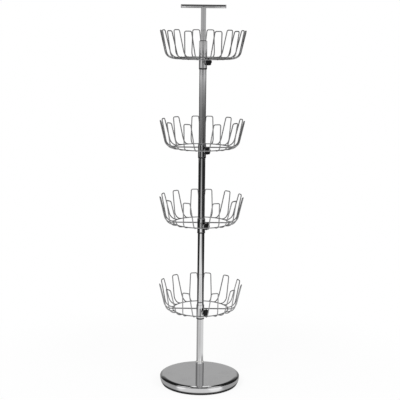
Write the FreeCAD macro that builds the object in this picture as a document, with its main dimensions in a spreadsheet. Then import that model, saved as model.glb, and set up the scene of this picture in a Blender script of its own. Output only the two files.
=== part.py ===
import FreeCAD, Part
import Sketcher
import math
import os

# Rotating shoe tower: a weighted round base, a pole that turns in it, and four wire baskets.
# Each basket slides and turns on the pole and is clamped there by its own knob.
# Millimetres, +Z up, origin at the centre of the base's underside, +Y to the back.

SIZES = {
    # base
    "base_across": 259.0,
    "cover_tall": 24.0,
    "cover_tuck": 5.0,
    "cover_bulge": 33.0,
    "cover_edge": 1.2,
    "cover_crown": 15.0,
    "cover_drop": 2.5,
    "cover_wall": 1.5,
    "pad_thick": 3.0,
    "pad_inset": 1.0,
    "weight_gap": 1.0,
    # socket and its bearing
    "socket_outer": 26.0,
    "socket_bore": 24.0,
    "socket_tall": 44.0,
    "socket_floor": 10.0,
    "socket_chamfer": 0.6,
    "bush_flange": 1.0,
    "bush_tall": 30.0,
    "thrust_thick": 1.5,
    # bolt that holds the socket on the base
    "bolt_size": 8.0,
    "bolt_head_across": 14.4,
    "bolt_head_thick": 5.3,
    "bolt_grip_in_socket": 8.0,
    "washer_across": 18.0,
    "washer_thick": 1.6,
    "counterbore_across": 22.0,
    "counterbore_deep": 8.0,
    # pole
    "tube_outer": 22.0,
    "tube_wall": 1.2,
    "coupler_long": 60.0,
    "coupler_wall": 2.0,
    "plug_flange": 2.0,
    "plug_long": 14.0,
    "plug_bore": 8.0,
    "joint_below_wires": 8.0,
    # handle
    "ferrule_outer": 25.4,
    "ferrule_tall": 40.0,
    "ferrule_lip": 3.0,
    "ferrule_chamfer": 0.8,
    "reducer_flange": 1.6,
    "reducer_flange_across": 19.6,
    "reducer_long": 30.0,
    "riser_outer": 16.0,
    "riser_wall": 1.2,
    "riser_in_pole": 45.0,
    "handle_above_ferrule": 105.0,
    "bar_outer": 11.0,
    "bar_wall": 1.2,
    "bar_long": 135.0,
    "cap_rim": 1.0,
    "cap_dome": 2.5,
    "cap_face_across": 7.7,
    "cap_plug_long": 8.0,
    # basket heights, to the plane of the ring and spokes
    "bottom_height": 249.0,
    "lower_height": 534.0,
    "upper_height": 776.0,
    "top_height": 1054.0,
    # basket
    "hub_outer": 25.4,
    "hub_tall": 43.0,
    "hub_above_wires": 13.0,
    "stop_tall": 4.0,
    "wire": 3.4,
    "spoke_wire": 4.0,
    "spoke_count": 4,
    "ring_radius": 89.0,
    "loops_each_side": 6,
    "first_loop_angle": 10.0,
    "loop_step_angle": 30.0,
    "loop_base_radius": 113.0,
    "loop_top_radius": 133.0,
    "loop_tall": 85.0,
    "loop_base_wide": 35.0,
    "loop_top_wide": 22.0,
    "loop_foot_run": 2.3,
    "loop_corner": 5.0,
    # clamp knob
    "knob_angle": -40.0,
    "knob_below_wires": 10.0,
    "boss_across": 12.0,
    "boss_long": 3.0,
    "stud_across": 6.0,
    "knob_across": 23.0,
    "knob_thick": 11.0,
    "knob_face": 3.0,
    "knob_neck": 13.0,
    "knob_neck_long": 3.0,
    "knob_gap": 0.5,
    "knob_flutes": 6,
    "flute_across": 8.0,
    "flute_deep": 1.8,
    "knob_edge": 1.5,
    # clearances
    "running_gap": 0.08,
    "fit_gap": 0.05,
    "loose_gap": 0.5,
}

BASKETS = ("bottom", "lower", "upper", "top")
WIRE_SIDES = 6
BEND_STEPS = 3
CORNER_STEPS = 1
ACROSS_WIRES = FreeCAD.Vector(0.3, 0.2, 1.0)  # a direction that no wire runs along

doc = FreeCAD.newDocument("shoe_tower")
sheet = doc.addObject("Spreadsheet::Sheet", "Sizes")
nodes = []


def fill_sheet():
    """Put each driving size into the sheet, its name beside it."""
    for row, (name, number) in enumerate(SIZES.items(), start=1):
        sheet.set(f"A{row}", name)
        sheet.set(f"B{row}", str(number))
        sheet.setAlias(f"B{row}", name)
    doc.recompute()


def size(name):
    return float(sheet.get(name))


def value(expression):
    return float(sheet.evalExpression(expression))


def origin_plane(body, role):
    for feature in body.Origin.OriginFeatures:
        if feature.Role == role:
            return feature
    raise ValueError(role)


def place(part, x="0", y="0", z="0", rotation=None):
    """Put a sub-part at a spot given by expressions, turned by a rotation."""
    part.Placement = FreeCAD.Placement(FreeCAD.Vector(), rotation or FreeCAD.Rotation())
    for axis, text in (("x", x), ("y", y), ("z", z)):
        part.setExpression(f"Placement.Base.{axis}", text)


def new_body(label):
    body = doc.addObject("PartDesign::Body", label)
    body.Label = label
    return body


def new_sketch(body, role, name):
    sketch = body.newObject("Sketcher::SketchObject", name)
    sketch.AttachmentSupport = (origin_plane(body, role), [""])
    sketch.MapMode = "FlatFace"
    return sketch


def pin_point(sketch, edge, point, across, up):
    """Hold a point of a sketch at two distances from the origin; a zero puts it on the axis."""
    for kind, axis_line, text in (("DistanceX", -2, across), ("DistanceY", -1, up)):
        if value(text) == 0:
            sketch.addConstraint(Sketcher.Constraint("PointOnObject", edge, point, axis_line))
            continue
        index = sketch.addConstraint(
            Sketcher.Constraint(kind, -1, 1, edge, point, value(text))
        )
        sketch.setExpression(f"Constraints[{index}]", text)


def draw_outline(sketch, corners, bulges=None):
    """Draw a closed outline through corners given as pairs of expressions.

    An edge named in bulges, by the number of its first corner, is an arc of that radius
    that rises and bows away from the Z axis.
    """
    bulges = bulges or {}
    spots = [FreeCAD.Vector(value(a), value(b), 0) for a, b in corners]
    count = len(corners)
    for i in range(count):
        start, end = spots[i], spots[(i + 1) % count]
        if i in bulges:
            middle = arc_middle(start, end, value(bulges[i]))
            sketch.addGeometry(Part.Arc(start, middle, end), False)
        else:
            sketch.addGeometry(Part.LineSegment(start, end), False)
    for i in range(count):
        sketch.addConstraint(Sketcher.Constraint("Coincident", i, 2, (i + 1) % count, 1))
    for i, (across, up) in enumerate(corners):
        pin_point(sketch, i, 1, across, up)
    for i, radius in bulges.items():
        index = sketch.addConstraint(Sketcher.Constraint("Radius", i, value(radius)))
        sketch.setExpression(f"Constraints[{index}]", radius)


def arc_middle(start, end, radius):
    """The middle of an arc that rises from start to end and bows away from the Z axis."""
    chord = end - start
    bow = radius - math.sqrt(radius**2 - (chord.Length / 2) ** 2)
    out = FreeCAD.Vector(chord.y, -chord.x, 0).normalize()
    return (start + end) * 0.5 + out * bow


def revolve(body, sketch):
    feature = body.newObject("PartDesign::Revolution", body.Name + "_turned")
    feature.Profile = sketch
    feature.ReferenceAxis = (sketch, ["V_Axis"])
    feature.Angle = 360.0
    body.Tip = feature
    return feature


def turned(label, corners, bulges=None):
    """A turned sub-part: an outline of radius and height pairs, revolved about Z."""
    body = new_body(label)
    sketch = new_sketch(body, "XZ_Plane", label + "_profile")
    draw_outline(sketch, corners, bulges)
    revolve(body, sketch)
    nodes.append(body)
    return body


def tube(label, outer, inner, length):
    """A plain tube or washer from its two radii and its length, all expressions."""
    return turned(label, [(inner, "0"), (outer, "0"), (outer, length), (inner, length)])


def group(label, pieces):
    """Several like solids as one sub-part."""
    compound = doc.addObject("Part::Compound", label)
    compound.Links = pieces
    compound.Label = label
    nodes.append(compound)
    return compound


# ---- bent wire -----------------------------------------------------------------------------


def rounded(points, tangents, steps):
    """A path whose inner corners are arcs: each arc becomes the given number of short runs.

    A tangent is how far from its corner an arc starts and ends.
    """
    path = [points[0]]
    for before, corner, after, tangent, count in zip(
        points, points[1:], points[2:], tangents, steps
    ):
        back = (before - corner).normalize()
        ahead = (after - corner).normalize()
        turn = math.pi - back.getAngle(ahead)
        radius = tangent / math.tan(turn / 2)
        centre_way = (back + ahead).normalize()
        centre = corner + centre_way * (radius / math.cos(turn / 2))
        axis = back.cross(ahead)
        arm = corner + back * tangent - centre
        for step in range(count + 1):
            turned_arm = FreeCAD.Rotation(axis, -math.degrees(turn) * step / count)
            path.append(centre + turned_arm.multVec(arm))
    path.append(points[-1])
    return path


def wire_solid(path, across, sides=WIRE_SIDES):
    """A straight-sided bar along a path of short runs, mitred where two runs meet."""
    way = (path[1] - path[0]).normalize()
    side = way.cross(ACROSS_WIRES).normalize()
    lift = way.cross(side)
    section = [
        path[0]
        + side * (across / 2 * math.cos(2 * math.pi * i / sides))
        + lift * (across / 2 * math.sin(2 * math.pi * i / sides))
        for i in range(sides)
    ]
    sections = [section]
    for i in range(1, len(path)):
        way = (path[i] - path[i - 1]).normalize()
        normal = way
        if i + 1 < len(path):
            normal = (way + (path[i + 1] - path[i]).normalize()).normalize()
        section = [
            spot + way * ((path[i] - spot).dot(normal) / way.dot(normal)) for spot in section
        ]
        sections.append(section)
    faces = [flat(section) for section in (sections[0][::-1], sections[-1])]
    for first, second in zip(sections, sections[1:]):
        for i in range(sides):
            j = (i + 1) % sides
            faces.append(flat([first[i], first[j], second[j], second[i]]))
    solid = Part.Solid(Part.Shell(faces))
    if solid.Volume < 0:
        solid.reverse()
    return solid


def flat(corners):
    return Part.Face(Part.makePolygon(list(corners) + [corners[0]]))


def computed(label, shape, height):
    """A sub-part whose shape is worked out here from the sheet's sizes."""
    feature = doc.addObject("Part::Feature", label)
    feature.Shape = shape
    feature.Label = label
    feature.Placement = FreeCAD.Placement(FreeCAD.Vector(0, 0, height), FreeCAD.Rotation())
    nodes.append(feature)
    return feature


# ---- base ----------------------------------------------------------------------------------

COVER_RIM = "Sizes.base_across / 2"
COVER_FOOT = f"({COVER_RIM} - Sizes.cover_tuck)"
COVER_FLAT = f"({COVER_RIM} - Sizes.cover_edge - Sizes.cover_crown)"


def base_cover():
    """Pressed cover: a flat plate crowned down to a crisp edge, a bulged side, open beneath.

    The crown is an arc that starts level where the flat ends: its radius follows from its
    width and its drop.
    """
    hole = "Sizes.bolt_size / 2 + Sizes.loose_gap"
    foot, rim, flat_end = COVER_FOOT, COVER_RIM, COVER_FLAT
    wall, edge, drop = "Sizes.cover_wall", "Sizes.cover_edge", "Sizes.cover_drop"
    tall = "Sizes.cover_tall"
    body = turned(
        "base_cover",
        [
            (hole, tall),
            (hole, f"{tall} - {wall}"),
            (flat_end, f"{tall} - {wall}"),
            (f"{rim} - {wall} - {edge}", f"{tall} - {drop} - {wall}"),
            (f"{foot} - {wall}", "0"),
            (foot, "0"),
            (rim, f"{tall} - {drop} - {edge}"),
            (f"{rim} - {edge}", f"{tall} - {drop}"),
            (flat_end, tall),
        ],
        bulges={
            5: "Sizes.cover_bulge",
            7: f"(Sizes.cover_crown ^ 2 + {drop} ^ 2) / (2 * {drop})",
        },
    )
    place(body, z="Sizes.pad_thick")


def base_weight():
    """Iron disc under the cover's flat, with a counterbore below for the bolt's head."""
    outer = f"{COVER_FLAT} - Sizes.weight_gap"
    bore = "Sizes.bolt_size / 2 + Sizes.loose_gap"
    recess = "Sizes.counterbore_across / 2"
    tall = "Sizes.cover_tall - Sizes.cover_wall"
    deep = "Sizes.counterbore_deep"
    body = turned(
        "base_weight",
        [(recess, "0"), (outer, "0"), (outer, tall), (bore, tall), (bore, deep), (recess, deep)],
    )
    place(body, z="Sizes.pad_thick")


def base_pad():
    """Rubber disc glued under the base."""
    rim, thick = f"{COVER_FOOT} - Sizes.pad_inset", "Sizes.pad_thick"
    turned("base_pad", [("0", "0"), (rim, "0"), (rim, thick), ("0", thick)])


def base_socket():
    """Collar that stands on the cover: a bored post with a threaded floor."""
    outer = "Sizes.socket_outer / 2"
    bore = "Sizes.socket_bore / 2"
    thread = "Sizes.bolt_size / 2 + Sizes.fit_gap"
    floor = "Sizes.socket_floor"
    tall = "Sizes.socket_tall"
    chamfer = "Sizes.socket_chamfer"
    body = turned(
        "base_socket",
        [
            (thread, "0"),
            (outer, "0"),
            (outer, f"{tall} - {chamfer}"),
            (f"{outer} - {chamfer}", tall),
            (bore, tall),
            (bore, floor),
            (thread, floor),
        ],
    )
    place(body, z="Sizes.pad_thick + Sizes.cover_tall")


def socket_bolt():
    """Hexagon bolt from below, through the weight and the cover, into the socket's floor."""
    head = doc.addObject("Part::Prism", "bolt_head")
    head.Polygon = 6
    head.setExpression("Circumradius", "Sizes.bolt_head_across / 2")
    head.setExpression("Height", "Sizes.bolt_head_thick")
    shank = doc.addObject("Part::Cylinder", "bolt_shank")
    shank.setExpression("Radius", "Sizes.bolt_size / 2")
    shank.setExpression(
        "Height",
        "Sizes.bolt_head_thick + Sizes.washer_thick + Sizes.cover_tall"
        " - Sizes.counterbore_deep + Sizes.bolt_grip_in_socket",
    )
    bolt = doc.addObject("Part::Fuse", "socket_bolt")
    bolt.Base = head
    bolt.Tool = shank
    bolt.Label = "socket_bolt"
    place(
        bolt,
        z="Sizes.pad_thick + Sizes.counterbore_deep - Sizes.washer_thick - Sizes.bolt_head_thick",
    )
    nodes.append(bolt)


def bolt_washer():
    body = tube(
        "bolt_washer",
        "Sizes.washer_across / 2",
        "Sizes.bolt_size / 2 + Sizes.loose_gap / 2",
        "Sizes.washer_thick",
    )
    place(body, z="Sizes.pad_thick + Sizes.counterbore_deep - Sizes.washer_thick")


def socket_bush():
    """Nylon liner that the pole runs in, with a thin flange on the socket's mouth."""
    inner = "Sizes.tube_outer / 2 + Sizes.running_gap"
    outer = "Sizes.socket_bore / 2 - Sizes.fit_gap"
    flange = "Sizes.socket_outer / 2 - Sizes.socket_chamfer"
    sleeve = "Sizes.bush_tall"
    tall = "Sizes.bush_tall + Sizes.bush_flange"
    body = turned(
        "socket_bush",
        [(inner, "0"), (outer, "0"), (outer, sleeve), (flange, sleeve), (flange, tall), (inner, tall)],
    )
    place(body, z="Sizes.pad_thick + Sizes.cover_tall + Sizes.socket_tall - Sizes.bush_tall")


def thrust_washer():
    body = tube(
        "thrust_washer",
        "Sizes.socket_bore / 2 - Sizes.fit_gap",
        "Sizes.plug_bore / 2",
        "Sizes.thrust_thick",
    )
    place(body, z="Sizes.pad_thick + Sizes.cover_tall + Sizes.socket_floor")


# ---- pole and handle -----------------------------------------------------------------------

POLE_FOOT = "Sizes.pad_thick + Sizes.cover_tall + Sizes.socket_floor + Sizes.thrust_thick"
HUB_TOP = "Sizes.top_height + Sizes.hub_above_wires"
FERRULE_FOOT = f"({HUB_TOP} + Sizes.loose_gap)"
POLE_TOP = f"({FERRULE_FOOT} + Sizes.ferrule_tall - Sizes.ferrule_lip)"
TUBE_BORE = "(Sizes.tube_outer / 2 - Sizes.tube_wall)"


def joint_height(basket):
    """Two tubes of the pole meet inside this basket's hub."""
    return f"(Sizes.{basket}_height - Sizes.joint_below_wires)"


def pole_plug():
    """Nylon foot of the pole: a flange that turns on the thrust washer and a plug in the tube."""
    flange = "Sizes.tube_outer / 2"
    bore = "Sizes.plug_bore / 2"
    plug = f"{TUBE_BORE} - Sizes.fit_gap"
    thick = "Sizes.plug_flange"
    tall = "Sizes.plug_flange + Sizes.plug_long"
    body = turned(
        "pole_foot_plug",
        [(bore, "0"), (flange, "0"), (flange, thick), (plug, thick), (plug, tall), (bore, tall)],
    )
    place(body, z=POLE_FOOT)


def pole_tubes():
    """Four tubes end to end: each runs from one joint to the next, the last up to the ferrule."""
    starts = [f"({POLE_FOOT} + Sizes.plug_flange)"] + [joint_height(b) for b in BASKETS[:-1]]
    ends = [joint_height(b) for b in BASKETS[:-1]] + [POLE_TOP]
    for basket, start, end in zip(BASKETS, starts, ends):
        body = tube(f"{basket}_pole_tube", "Sizes.tube_outer / 2", TUBE_BORE, f"{end} - {start}")
        place(body, z=start)


def tube_couplers():
    """A sleeve inside each joint of the pole, half in either tube."""
    sleeves = []
    for basket in BASKETS[:-1]:
        body = new_body(f"{basket}_coupler")
        sketch = new_sketch(body, "XZ_Plane", f"{basket}_coupler_profile")
        outer = f"{TUBE_BORE} - Sizes.fit_gap"
        inner = f"{TUBE_BORE} - Sizes.fit_gap - Sizes.coupler_wall"
        length = "Sizes.coupler_long"
        draw_outline(sketch, [(inner, "0"), (outer, "0"), (outer, length), (inner, length)])
        revolve(body, sketch)
        place(body, z=f"{joint_height(basket)} - Sizes.coupler_long / 2")
        sleeves.append(body)
    group("tube_couplers", sleeves)


def top_ferrule():
    """Chrome sleeve on the pole's end, its lip turned in over the tube and the reducer."""
    inner = "Sizes.tube_outer / 2 + Sizes.fit_gap"
    outer = "Sizes.ferrule_outer / 2"
    mouth = "Sizes.reducer_flange_across / 2 - Sizes.reducer_flange"
    shoulder = "Sizes.ferrule_tall - Sizes.ferrule_lip"
    tall = "Sizes.ferrule_tall"
    chamfer = "Sizes.ferrule_chamfer"
    body = turned(
        "top_ferrule",
        [
            (inner, "0"),
            (outer, "0"),
            (outer, f"{tall} - {chamfer}"),
            (f"{outer} - {chamfer}", tall),
            (mouth, tall),
            (mouth, shoulder),
            (inner, shoulder),
        ],
    )
    place(body, z=FERRULE_FOOT)


def reducer_bush():
    """Black bush that centres the thin riser in the ferrule's mouth and in the pole."""
    bore = "Sizes.riser_outer / 2 + Sizes.fit_gap"
    neck = "Sizes.reducer_flange_across / 2 - Sizes.reducer_flange - Sizes.fit_gap"
    flange = "Sizes.reducer_flange_across / 2"
    low = "Sizes.reducer_long"
    tall = "Sizes.reducer_long + Sizes.reducer_flange"
    body = turned(
        "reducer_bush",
        [(bore, "0"), (neck, "0"), (neck, low), (flange, low), (flange, tall), (bore, tall)],
    )
    place(body, z=f"{FERRULE_FOOT} + Sizes.ferrule_tall - Sizes.reducer_long")


def bar_height():
    return f"({FERRULE_FOOT} + Sizes.ferrule_tall + Sizes.handle_above_ferrule)"


def handle_riser():
    """Thin tube from inside the pole up to the handle, notched to seat the bar."""
    start = f"({FERRULE_FOOT} + Sizes.ferrule_tall - Sizes.riser_in_pole)"
    blank = doc.addObject("Part::Cylinder", "riser_blank")
    blank.setExpression("Radius", "Sizes.riser_outer / 2")
    blank.setExpression("Height", f"{bar_height()} - {start}")
    blank.setExpression("Placement.Base.z", start)
    bore = doc.addObject("Part::Cylinder", "riser_bore")
    bore.setExpression("Radius", "Sizes.riser_outer / 2 - Sizes.riser_wall")
    bore.setExpression("Height", f"{bar_height()} - {start}")
    bore.setExpression("Placement.Base.z", start)
    pipe = doc.addObject("Part::Cut", "riser_pipe")
    pipe.Base = blank
    pipe.Tool = bore
    notch = doc.addObject("Part::Cylinder", "riser_notch")
    notch.setExpression("Radius", "Sizes.bar_outer / 2 + Sizes.fit_gap")
    notch.setExpression("Height", "Sizes.bar_long")
    place(notch, "-Sizes.bar_long / 2", "0", bar_height(), along_x())
    riser = doc.addObject("Part::Cut", "handle_riser")
    riser.Base = pipe
    riser.Tool = notch
    riser.Label = "handle_riser"
    nodes.append(riser)


def along_x():
    return FreeCAD.Rotation(FreeCAD.Vector(0, 1, 0), 90)


def handle_bar():
    """Crossbar of the handle: a tube with a domed cap pushed into each end."""
    bore = "Sizes.bar_outer / 2 - Sizes.bar_wall"
    length = "Sizes.bar_long"
    body = tube("handle_bar", "Sizes.bar_outer / 2", bore, length)
    place(body, "-Sizes.bar_long / 2", "0", bar_height(), along_x())

    caps = []
    plug = f"{bore} - Sizes.fit_gap"
    rim = "Sizes.bar_outer / 2"
    inside = "Sizes.cap_plug_long"
    dome = "Sizes.cap_plug_long + Sizes.cap_dome"
    for side, turn, way in (("left", -90, -1), ("right", 90, 1)):
        cap = new_body(f"{side}_cap")
        sketch = new_sketch(cap, "XZ_Plane", f"{side}_cap_profile")
        draw_outline(
            sketch,
            [
                ("0", "0"),
                (plug, "0"),
                (plug, inside),
                (rim, inside),
                (rim, f"{inside} + Sizes.cap_rim"),
                ("Sizes.cap_face_across / 2", dome),
                ("0", dome),
            ],
        )
        revolve(cap, sketch)
        rotation = FreeCAD.Rotation(FreeCAD.Vector(0, 1, 0), turn)
        start = f"({way}) * (Sizes.bar_long / 2 - Sizes.cap_plug_long)"
        place(cap, start, "0", bar_height(), rotation)
        caps.append(cap)
    group("handle_bar_caps", caps)


# ---- baskets -------------------------------------------------------------------------------


def hub(basket):
    """Sleeve that slides on the pole, drilled for the clamp stud."""
    body = new_body(f"{basket}_hub")
    sketch = new_sketch(body, "XZ_Plane", f"{basket}_hub_profile")
    outer = "Sizes.hub_outer / 2"
    inner = "Sizes.tube_outer / 2 + Sizes.running_gap"
    tall = "Sizes.hub_tall"
    draw_outline(sketch, [(inner, "0"), (outer, "0"), (outer, tall), (inner, tall)])
    revolve(body, sketch)
    doc.recompute()
    hole = new_sketch(body, "YZ_Plane", f"{basket}_hub_hole")
    radius = "Sizes.stud_across / 2 + Sizes.running_gap"
    up = "Sizes.hub_tall - Sizes.hub_above_wires - Sizes.knob_below_wires"
    centre = FreeCAD.Vector(0, value(up), 0)
    hole.addGeometry(Part.Circle(centre, FreeCAD.Vector(0, 0, 1), value(radius)), False)
    pin_point(hole, 0, 3, "0", up)
    index = hole.addConstraint(Sketcher.Constraint("Radius", 0, value(radius)))
    hole.setExpression(f"Constraints[{index}]", radius)
    cut = body.newObject("PartDesign::Pocket", f"{basket}_hub_drilled")
    cut.Profile = hole
    cut.Length = size("hub_outer")
    cut.setExpression("Length", "Sizes.hub_outer")
    cut.Reversed = True
    body.Tip = cut
    turn = FreeCAD.Rotation(FreeCAD.Vector(0, 0, 1), size("knob_angle"))
    place(body, z=f"Sizes.{basket}_height + Sizes.hub_above_wires - Sizes.hub_tall", rotation=turn)
    nodes.append(body)


def stop_ring(basket):
    """Nylon ring that grips the pole under the hub; the hub turns on it."""
    body = tube(
        f"{basket}_stop_ring",
        "Sizes.hub_outer / 2",
        "Sizes.tube_outer / 2 + Sizes.running_gap",
        "Sizes.stop_tall",
    )
    place(
        body,
        z=f"Sizes.{basket}_height + Sizes.hub_above_wires - Sizes.hub_tall - Sizes.stop_tall",
    )


def wire_ring(basket):
    """Round ring of the basket: the wire's section turned about the pole."""
    body = new_body(f"{basket}_wire_ring")
    sketch = new_sketch(body, "XZ_Plane", f"{basket}_wire_ring_profile")
    corners = []
    for i in range(WIRE_SIDES):
        angle = 360.0 * i / WIRE_SIDES
        across = f"Sizes.ring_radius + Sizes.wire / 2 * cos({angle} deg)"
        up = f"Sizes.wire + Sizes.wire / 2 * sin({angle} deg)"
        corners.append((across, up))
    draw_outline(sketch, corners)
    revolve(body, sketch)
    place(body, z=f"Sizes.{basket}_height - Sizes.wire")
    nodes.append(body)


def spokes(basket):
    """Straight wires from the hub out to the ring."""
    inner = size("hub_outer") / 2 + size("fit_gap")
    outer = size("ring_radius") - size("wire") / 2 - size("fit_gap")
    count = int(size("spoke_count"))
    rods = []
    for i in range(count):
        way = polar(360.0 * i / count)
        rods.append(wire_solid([way * inner, way * outer], size("spoke_wire")))
    computed(f"{basket}_spokes", Part.makeCompound(rods), size(f"{basket}_height"))


def polar(degrees, height=0.0):
    angle = math.radians(degrees)
    return FreeCAD.Vector(math.cos(angle), math.sin(angle), height)


def loop_path():
    """Centre line of one loop, at angle zero: foot, bend, leg, top, and the same again."""
    half_angle = math.degrees(math.asin(size("loop_base_wide") / 2 / size("loop_base_radius")))
    weld = size("ring_radius") + size("wire") / 2 + size("fit_gap")
    foot = [polar(turn) * weld for turn in (-half_angle, half_angle)]
    knee = [polar(turn) * size("loop_base_radius") for turn in (-half_angle, half_angle)]
    reach = size("loop_top_radius")
    half_top = size("loop_top_wide") / 2
    top = [FreeCAD.Vector(reach, way * half_top, size("loop_tall")) for way in (-1, 1)]
    points = [foot[0], knee[0], top[0], top[1], knee[1], foot[1]]
    bend = size("loop_base_radius") - weld - size("loop_foot_run")
    corner = size("loop_corner")
    return rounded(
        points,
        (bend, corner, corner, bend),
        (BEND_STEPS, CORNER_STEPS, CORNER_STEPS, BEND_STEPS),
    )


def loop_angles():
    """Where the loops stand, in degrees from +X: two mirrored sets, counted from the back."""
    first, step = size("first_loop_angle"), size("loop_step_angle")
    away = [first + step * i for i in range(int(size("loops_each_side")))]
    return [90.0 + turn for turn in away] + [90.0 - turn for turn in away]


def loops(basket):
    """The shoe holders: one bent wire each, both feet on the ring."""
    path = loop_path()
    wires = []
    for angle in loop_angles():
        turn = FreeCAD.Rotation(FreeCAD.Vector(0, 0, 1), angle)
        wires.append(wire_solid([turn.multVec(spot) for spot in path], size("wire")))
    computed(f"{basket}_loops", Part.makeCompound(wires), size(f"{basket}_height"))


# ---- clamp knob ----------------------------------------------------------------------------


def outward():
    """Turns a sub-part's +Z to point out of the hub along the clamp's axis."""
    swing = FreeCAD.Rotation(FreeCAD.Vector(0, 0, 1), size("knob_angle"))
    return swing.multiply(along_x())


def place_on_clamp(part, basket, distance):
    """Put a turned piece on the clamp's axis, a distance out from the pole's axis."""
    place(
        part,
        f"({distance}) * cos(Sizes.knob_angle * 1 deg)",
        f"({distance}) * sin(Sizes.knob_angle * 1 deg)",
        f"Sizes.{basket}_height - Sizes.knob_below_wires",
        outward(),
    )


def clamp_boss(basket):
    """Threaded boss welded to the hub, its inner end shaped to the hub's round."""
    reach = "Sizes.hub_outer / 2 + Sizes.boss_long"
    blank = doc.addObject("Part::Cylinder", f"{basket}_boss_blank")
    blank.setExpression("Radius", "Sizes.boss_across / 2")
    blank.setExpression("Height", reach)
    bore = doc.addObject("Part::Cylinder", f"{basket}_boss_bore")
    bore.setExpression("Radius", "Sizes.stud_across / 2 + Sizes.running_gap")
    bore.setExpression("Height", reach)
    for cylinder in (blank, bore):
        place_on_clamp(cylinder, basket, "0")
    post = doc.addObject("Part::Cylinder", f"{basket}_boss_saddle")
    post.setExpression("Radius", "Sizes.hub_outer / 2 + Sizes.fit_gap")
    post.setExpression("Height", "Sizes.boss_across * 2")
    place(
        post,
        z=f"Sizes.{basket}_height - Sizes.knob_below_wires - Sizes.boss_across",
    )
    drilled = doc.addObject("Part::Cut", f"{basket}_boss_drilled")
    drilled.Base = blank
    drilled.Tool = bore
    boss = doc.addObject("Part::Cut", f"{basket}_clamp_boss")
    boss.Base = drilled
    boss.Tool = post
    boss.Label = f"{basket}_clamp_boss"
    nodes.append(boss)


KNOB_START = "Sizes.hub_outer / 2 + Sizes.boss_long + Sizes.knob_gap"
STUD_TIP = "Sizes.tube_outer / 2 + Sizes.running_gap"
STUD_IN_KNOB = "(Sizes.knob_thick - Sizes.knob_face)"


def knob_stud(basket):
    """Screw moulded into the knob; its tip bears on the pole."""
    stud = doc.addObject("Part::Cylinder", f"{basket}_knob_stud")
    stud.Label = f"{basket}_knob_stud"
    stud.setExpression("Radius", "Sizes.stud_across / 2")
    stud.setExpression("Height", f"{KNOB_START} + {STUD_IN_KNOB} - ({STUD_TIP})")
    place_on_clamp(stud, basket, STUD_TIP)
    nodes.append(stud)


def knob(basket):
    """Moulded hand knob: a neck, a round grip with flutes, and a bevelled face."""
    body = new_body(f"{basket}_knob")
    sketch = new_sketch(body, "XZ_Plane", f"{basket}_knob_profile")
    bore = "Sizes.stud_across / 2 + Sizes.fit_gap"
    deep = f"{STUD_IN_KNOB} + Sizes.fit_gap"
    neck = "Sizes.knob_neck / 2"
    neck_long = "Sizes.knob_neck_long"
    rim = "Sizes.knob_across / 2"
    tall = "Sizes.knob_thick"
    edge = "Sizes.knob_edge"
    draw_outline(
        sketch,
        [
            (bore, "0"),
            (neck, "0"),
            (neck, neck_long),
            (f"{rim} - {edge}", neck_long),
            (rim, f"{neck_long} + {edge}"),
            (rim, f"{tall} - {edge}"),
            (f"{rim} - {edge}", tall),
            ("0", tall),
            ("0", deep),
            (bore, deep),
        ],
    )
    form = revolve(body, sketch)
    doc.recompute()

    flute = new_sketch(body, "XY_Plane", f"{basket}_knob_flute_circle")
    radius = "Sizes.flute_across / 2"
    away = "Sizes.knob_across / 2 + Sizes.flute_across / 2 - Sizes.flute_deep"
    centre = FreeCAD.Vector(value(away), 0, 0)
    flute.addGeometry(Part.Circle(centre, FreeCAD.Vector(0, 0, 1), value(radius)), False)
    pin_point(flute, 0, 3, away, "0")
    index = flute.addConstraint(Sketcher.Constraint("Radius", 0, value(radius)))
    flute.setExpression(f"Constraints[{index}]", radius)
    cut = body.newObject("PartDesign::Pocket", f"{basket}_knob_flute")
    cut.Profile = flute
    cut.Length = size("knob_thick")
    cut.setExpression("Length", "Sizes.knob_thick")
    cut.Reversed = True
    body.Tip = cut
    doc.recompute()
    if cut.Shape.Volume >= form.Shape.Volume:
        raise RuntimeError("the flute cut nothing")
    around = body.newObject("PartDesign::PolarPattern", f"{basket}_knob_flutes")
    around.Originals = [cut]
    around.Axis = (sketch, ["V_Axis"])
    around.Angle = 360.0
    around.setExpression("Occurrences", "Sizes.knob_flutes")
    body.Tip = around
    place_on_clamp(body, basket, KNOB_START)
    nodes.append(body)


# ---- build ---------------------------------------------------------------------------------


def build():
    fill_sheet()
    base_cover()
    base_weight()
    base_pad()
    base_socket()
    socket_bolt()
    bolt_washer()
    socket_bush()
    thrust_washer()
    pole_plug()
    pole_tubes()
    tube_couplers()
    top_ferrule()
    reducer_bush()
    handle_riser()
    handle_bar()
    for basket in BASKETS:
        hub(basket)
        stop_ring(basket)
        wire_ring(basket)
        spokes(basket)
        loops(basket)
        clamp_boss(basket)
        knob_stud(basket)
        knob(basket)
    doc.recompute()


def check():
    """Stop if any object failed, or any sub-part is empty or not valid."""
    for item in doc.Objects:
        if "Invalid" in item.State or "Error" in item.State:
            raise RuntimeError(f"{item.Label} failed: {item.State}")
    for node in nodes:
        if node.Shape.isNull() or not node.Shape.isValid():
            raise RuntimeError(f"{node.Label} has no valid shape")


def write():
    os.makedirs("parts", exist_ok=True)
    for node in nodes:
        node.Shape.exportStep(f"parts/{node.Label}.step")
        print(f"{node.Label}: {len(node.Shape.Solids)} solids, {node.Shape.Volume:.0f} mm3")


build()
check()
write()
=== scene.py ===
"""Looks of the rotating shoe tower, dressed over its fixed frame.

Lengths of the pieces are millimetres and become metres when a piece is made; the studio and the
finishes are in metres. +Z is up, the origin is the centre of the base's underside, -Y is the front.
"""

import logging
import math
from collections.abc import Mapping, Sequence
from dataclasses import dataclass, field
from enum import Enum

import bpy
import numpy as np
from mathutils import Matrix, Vector


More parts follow.
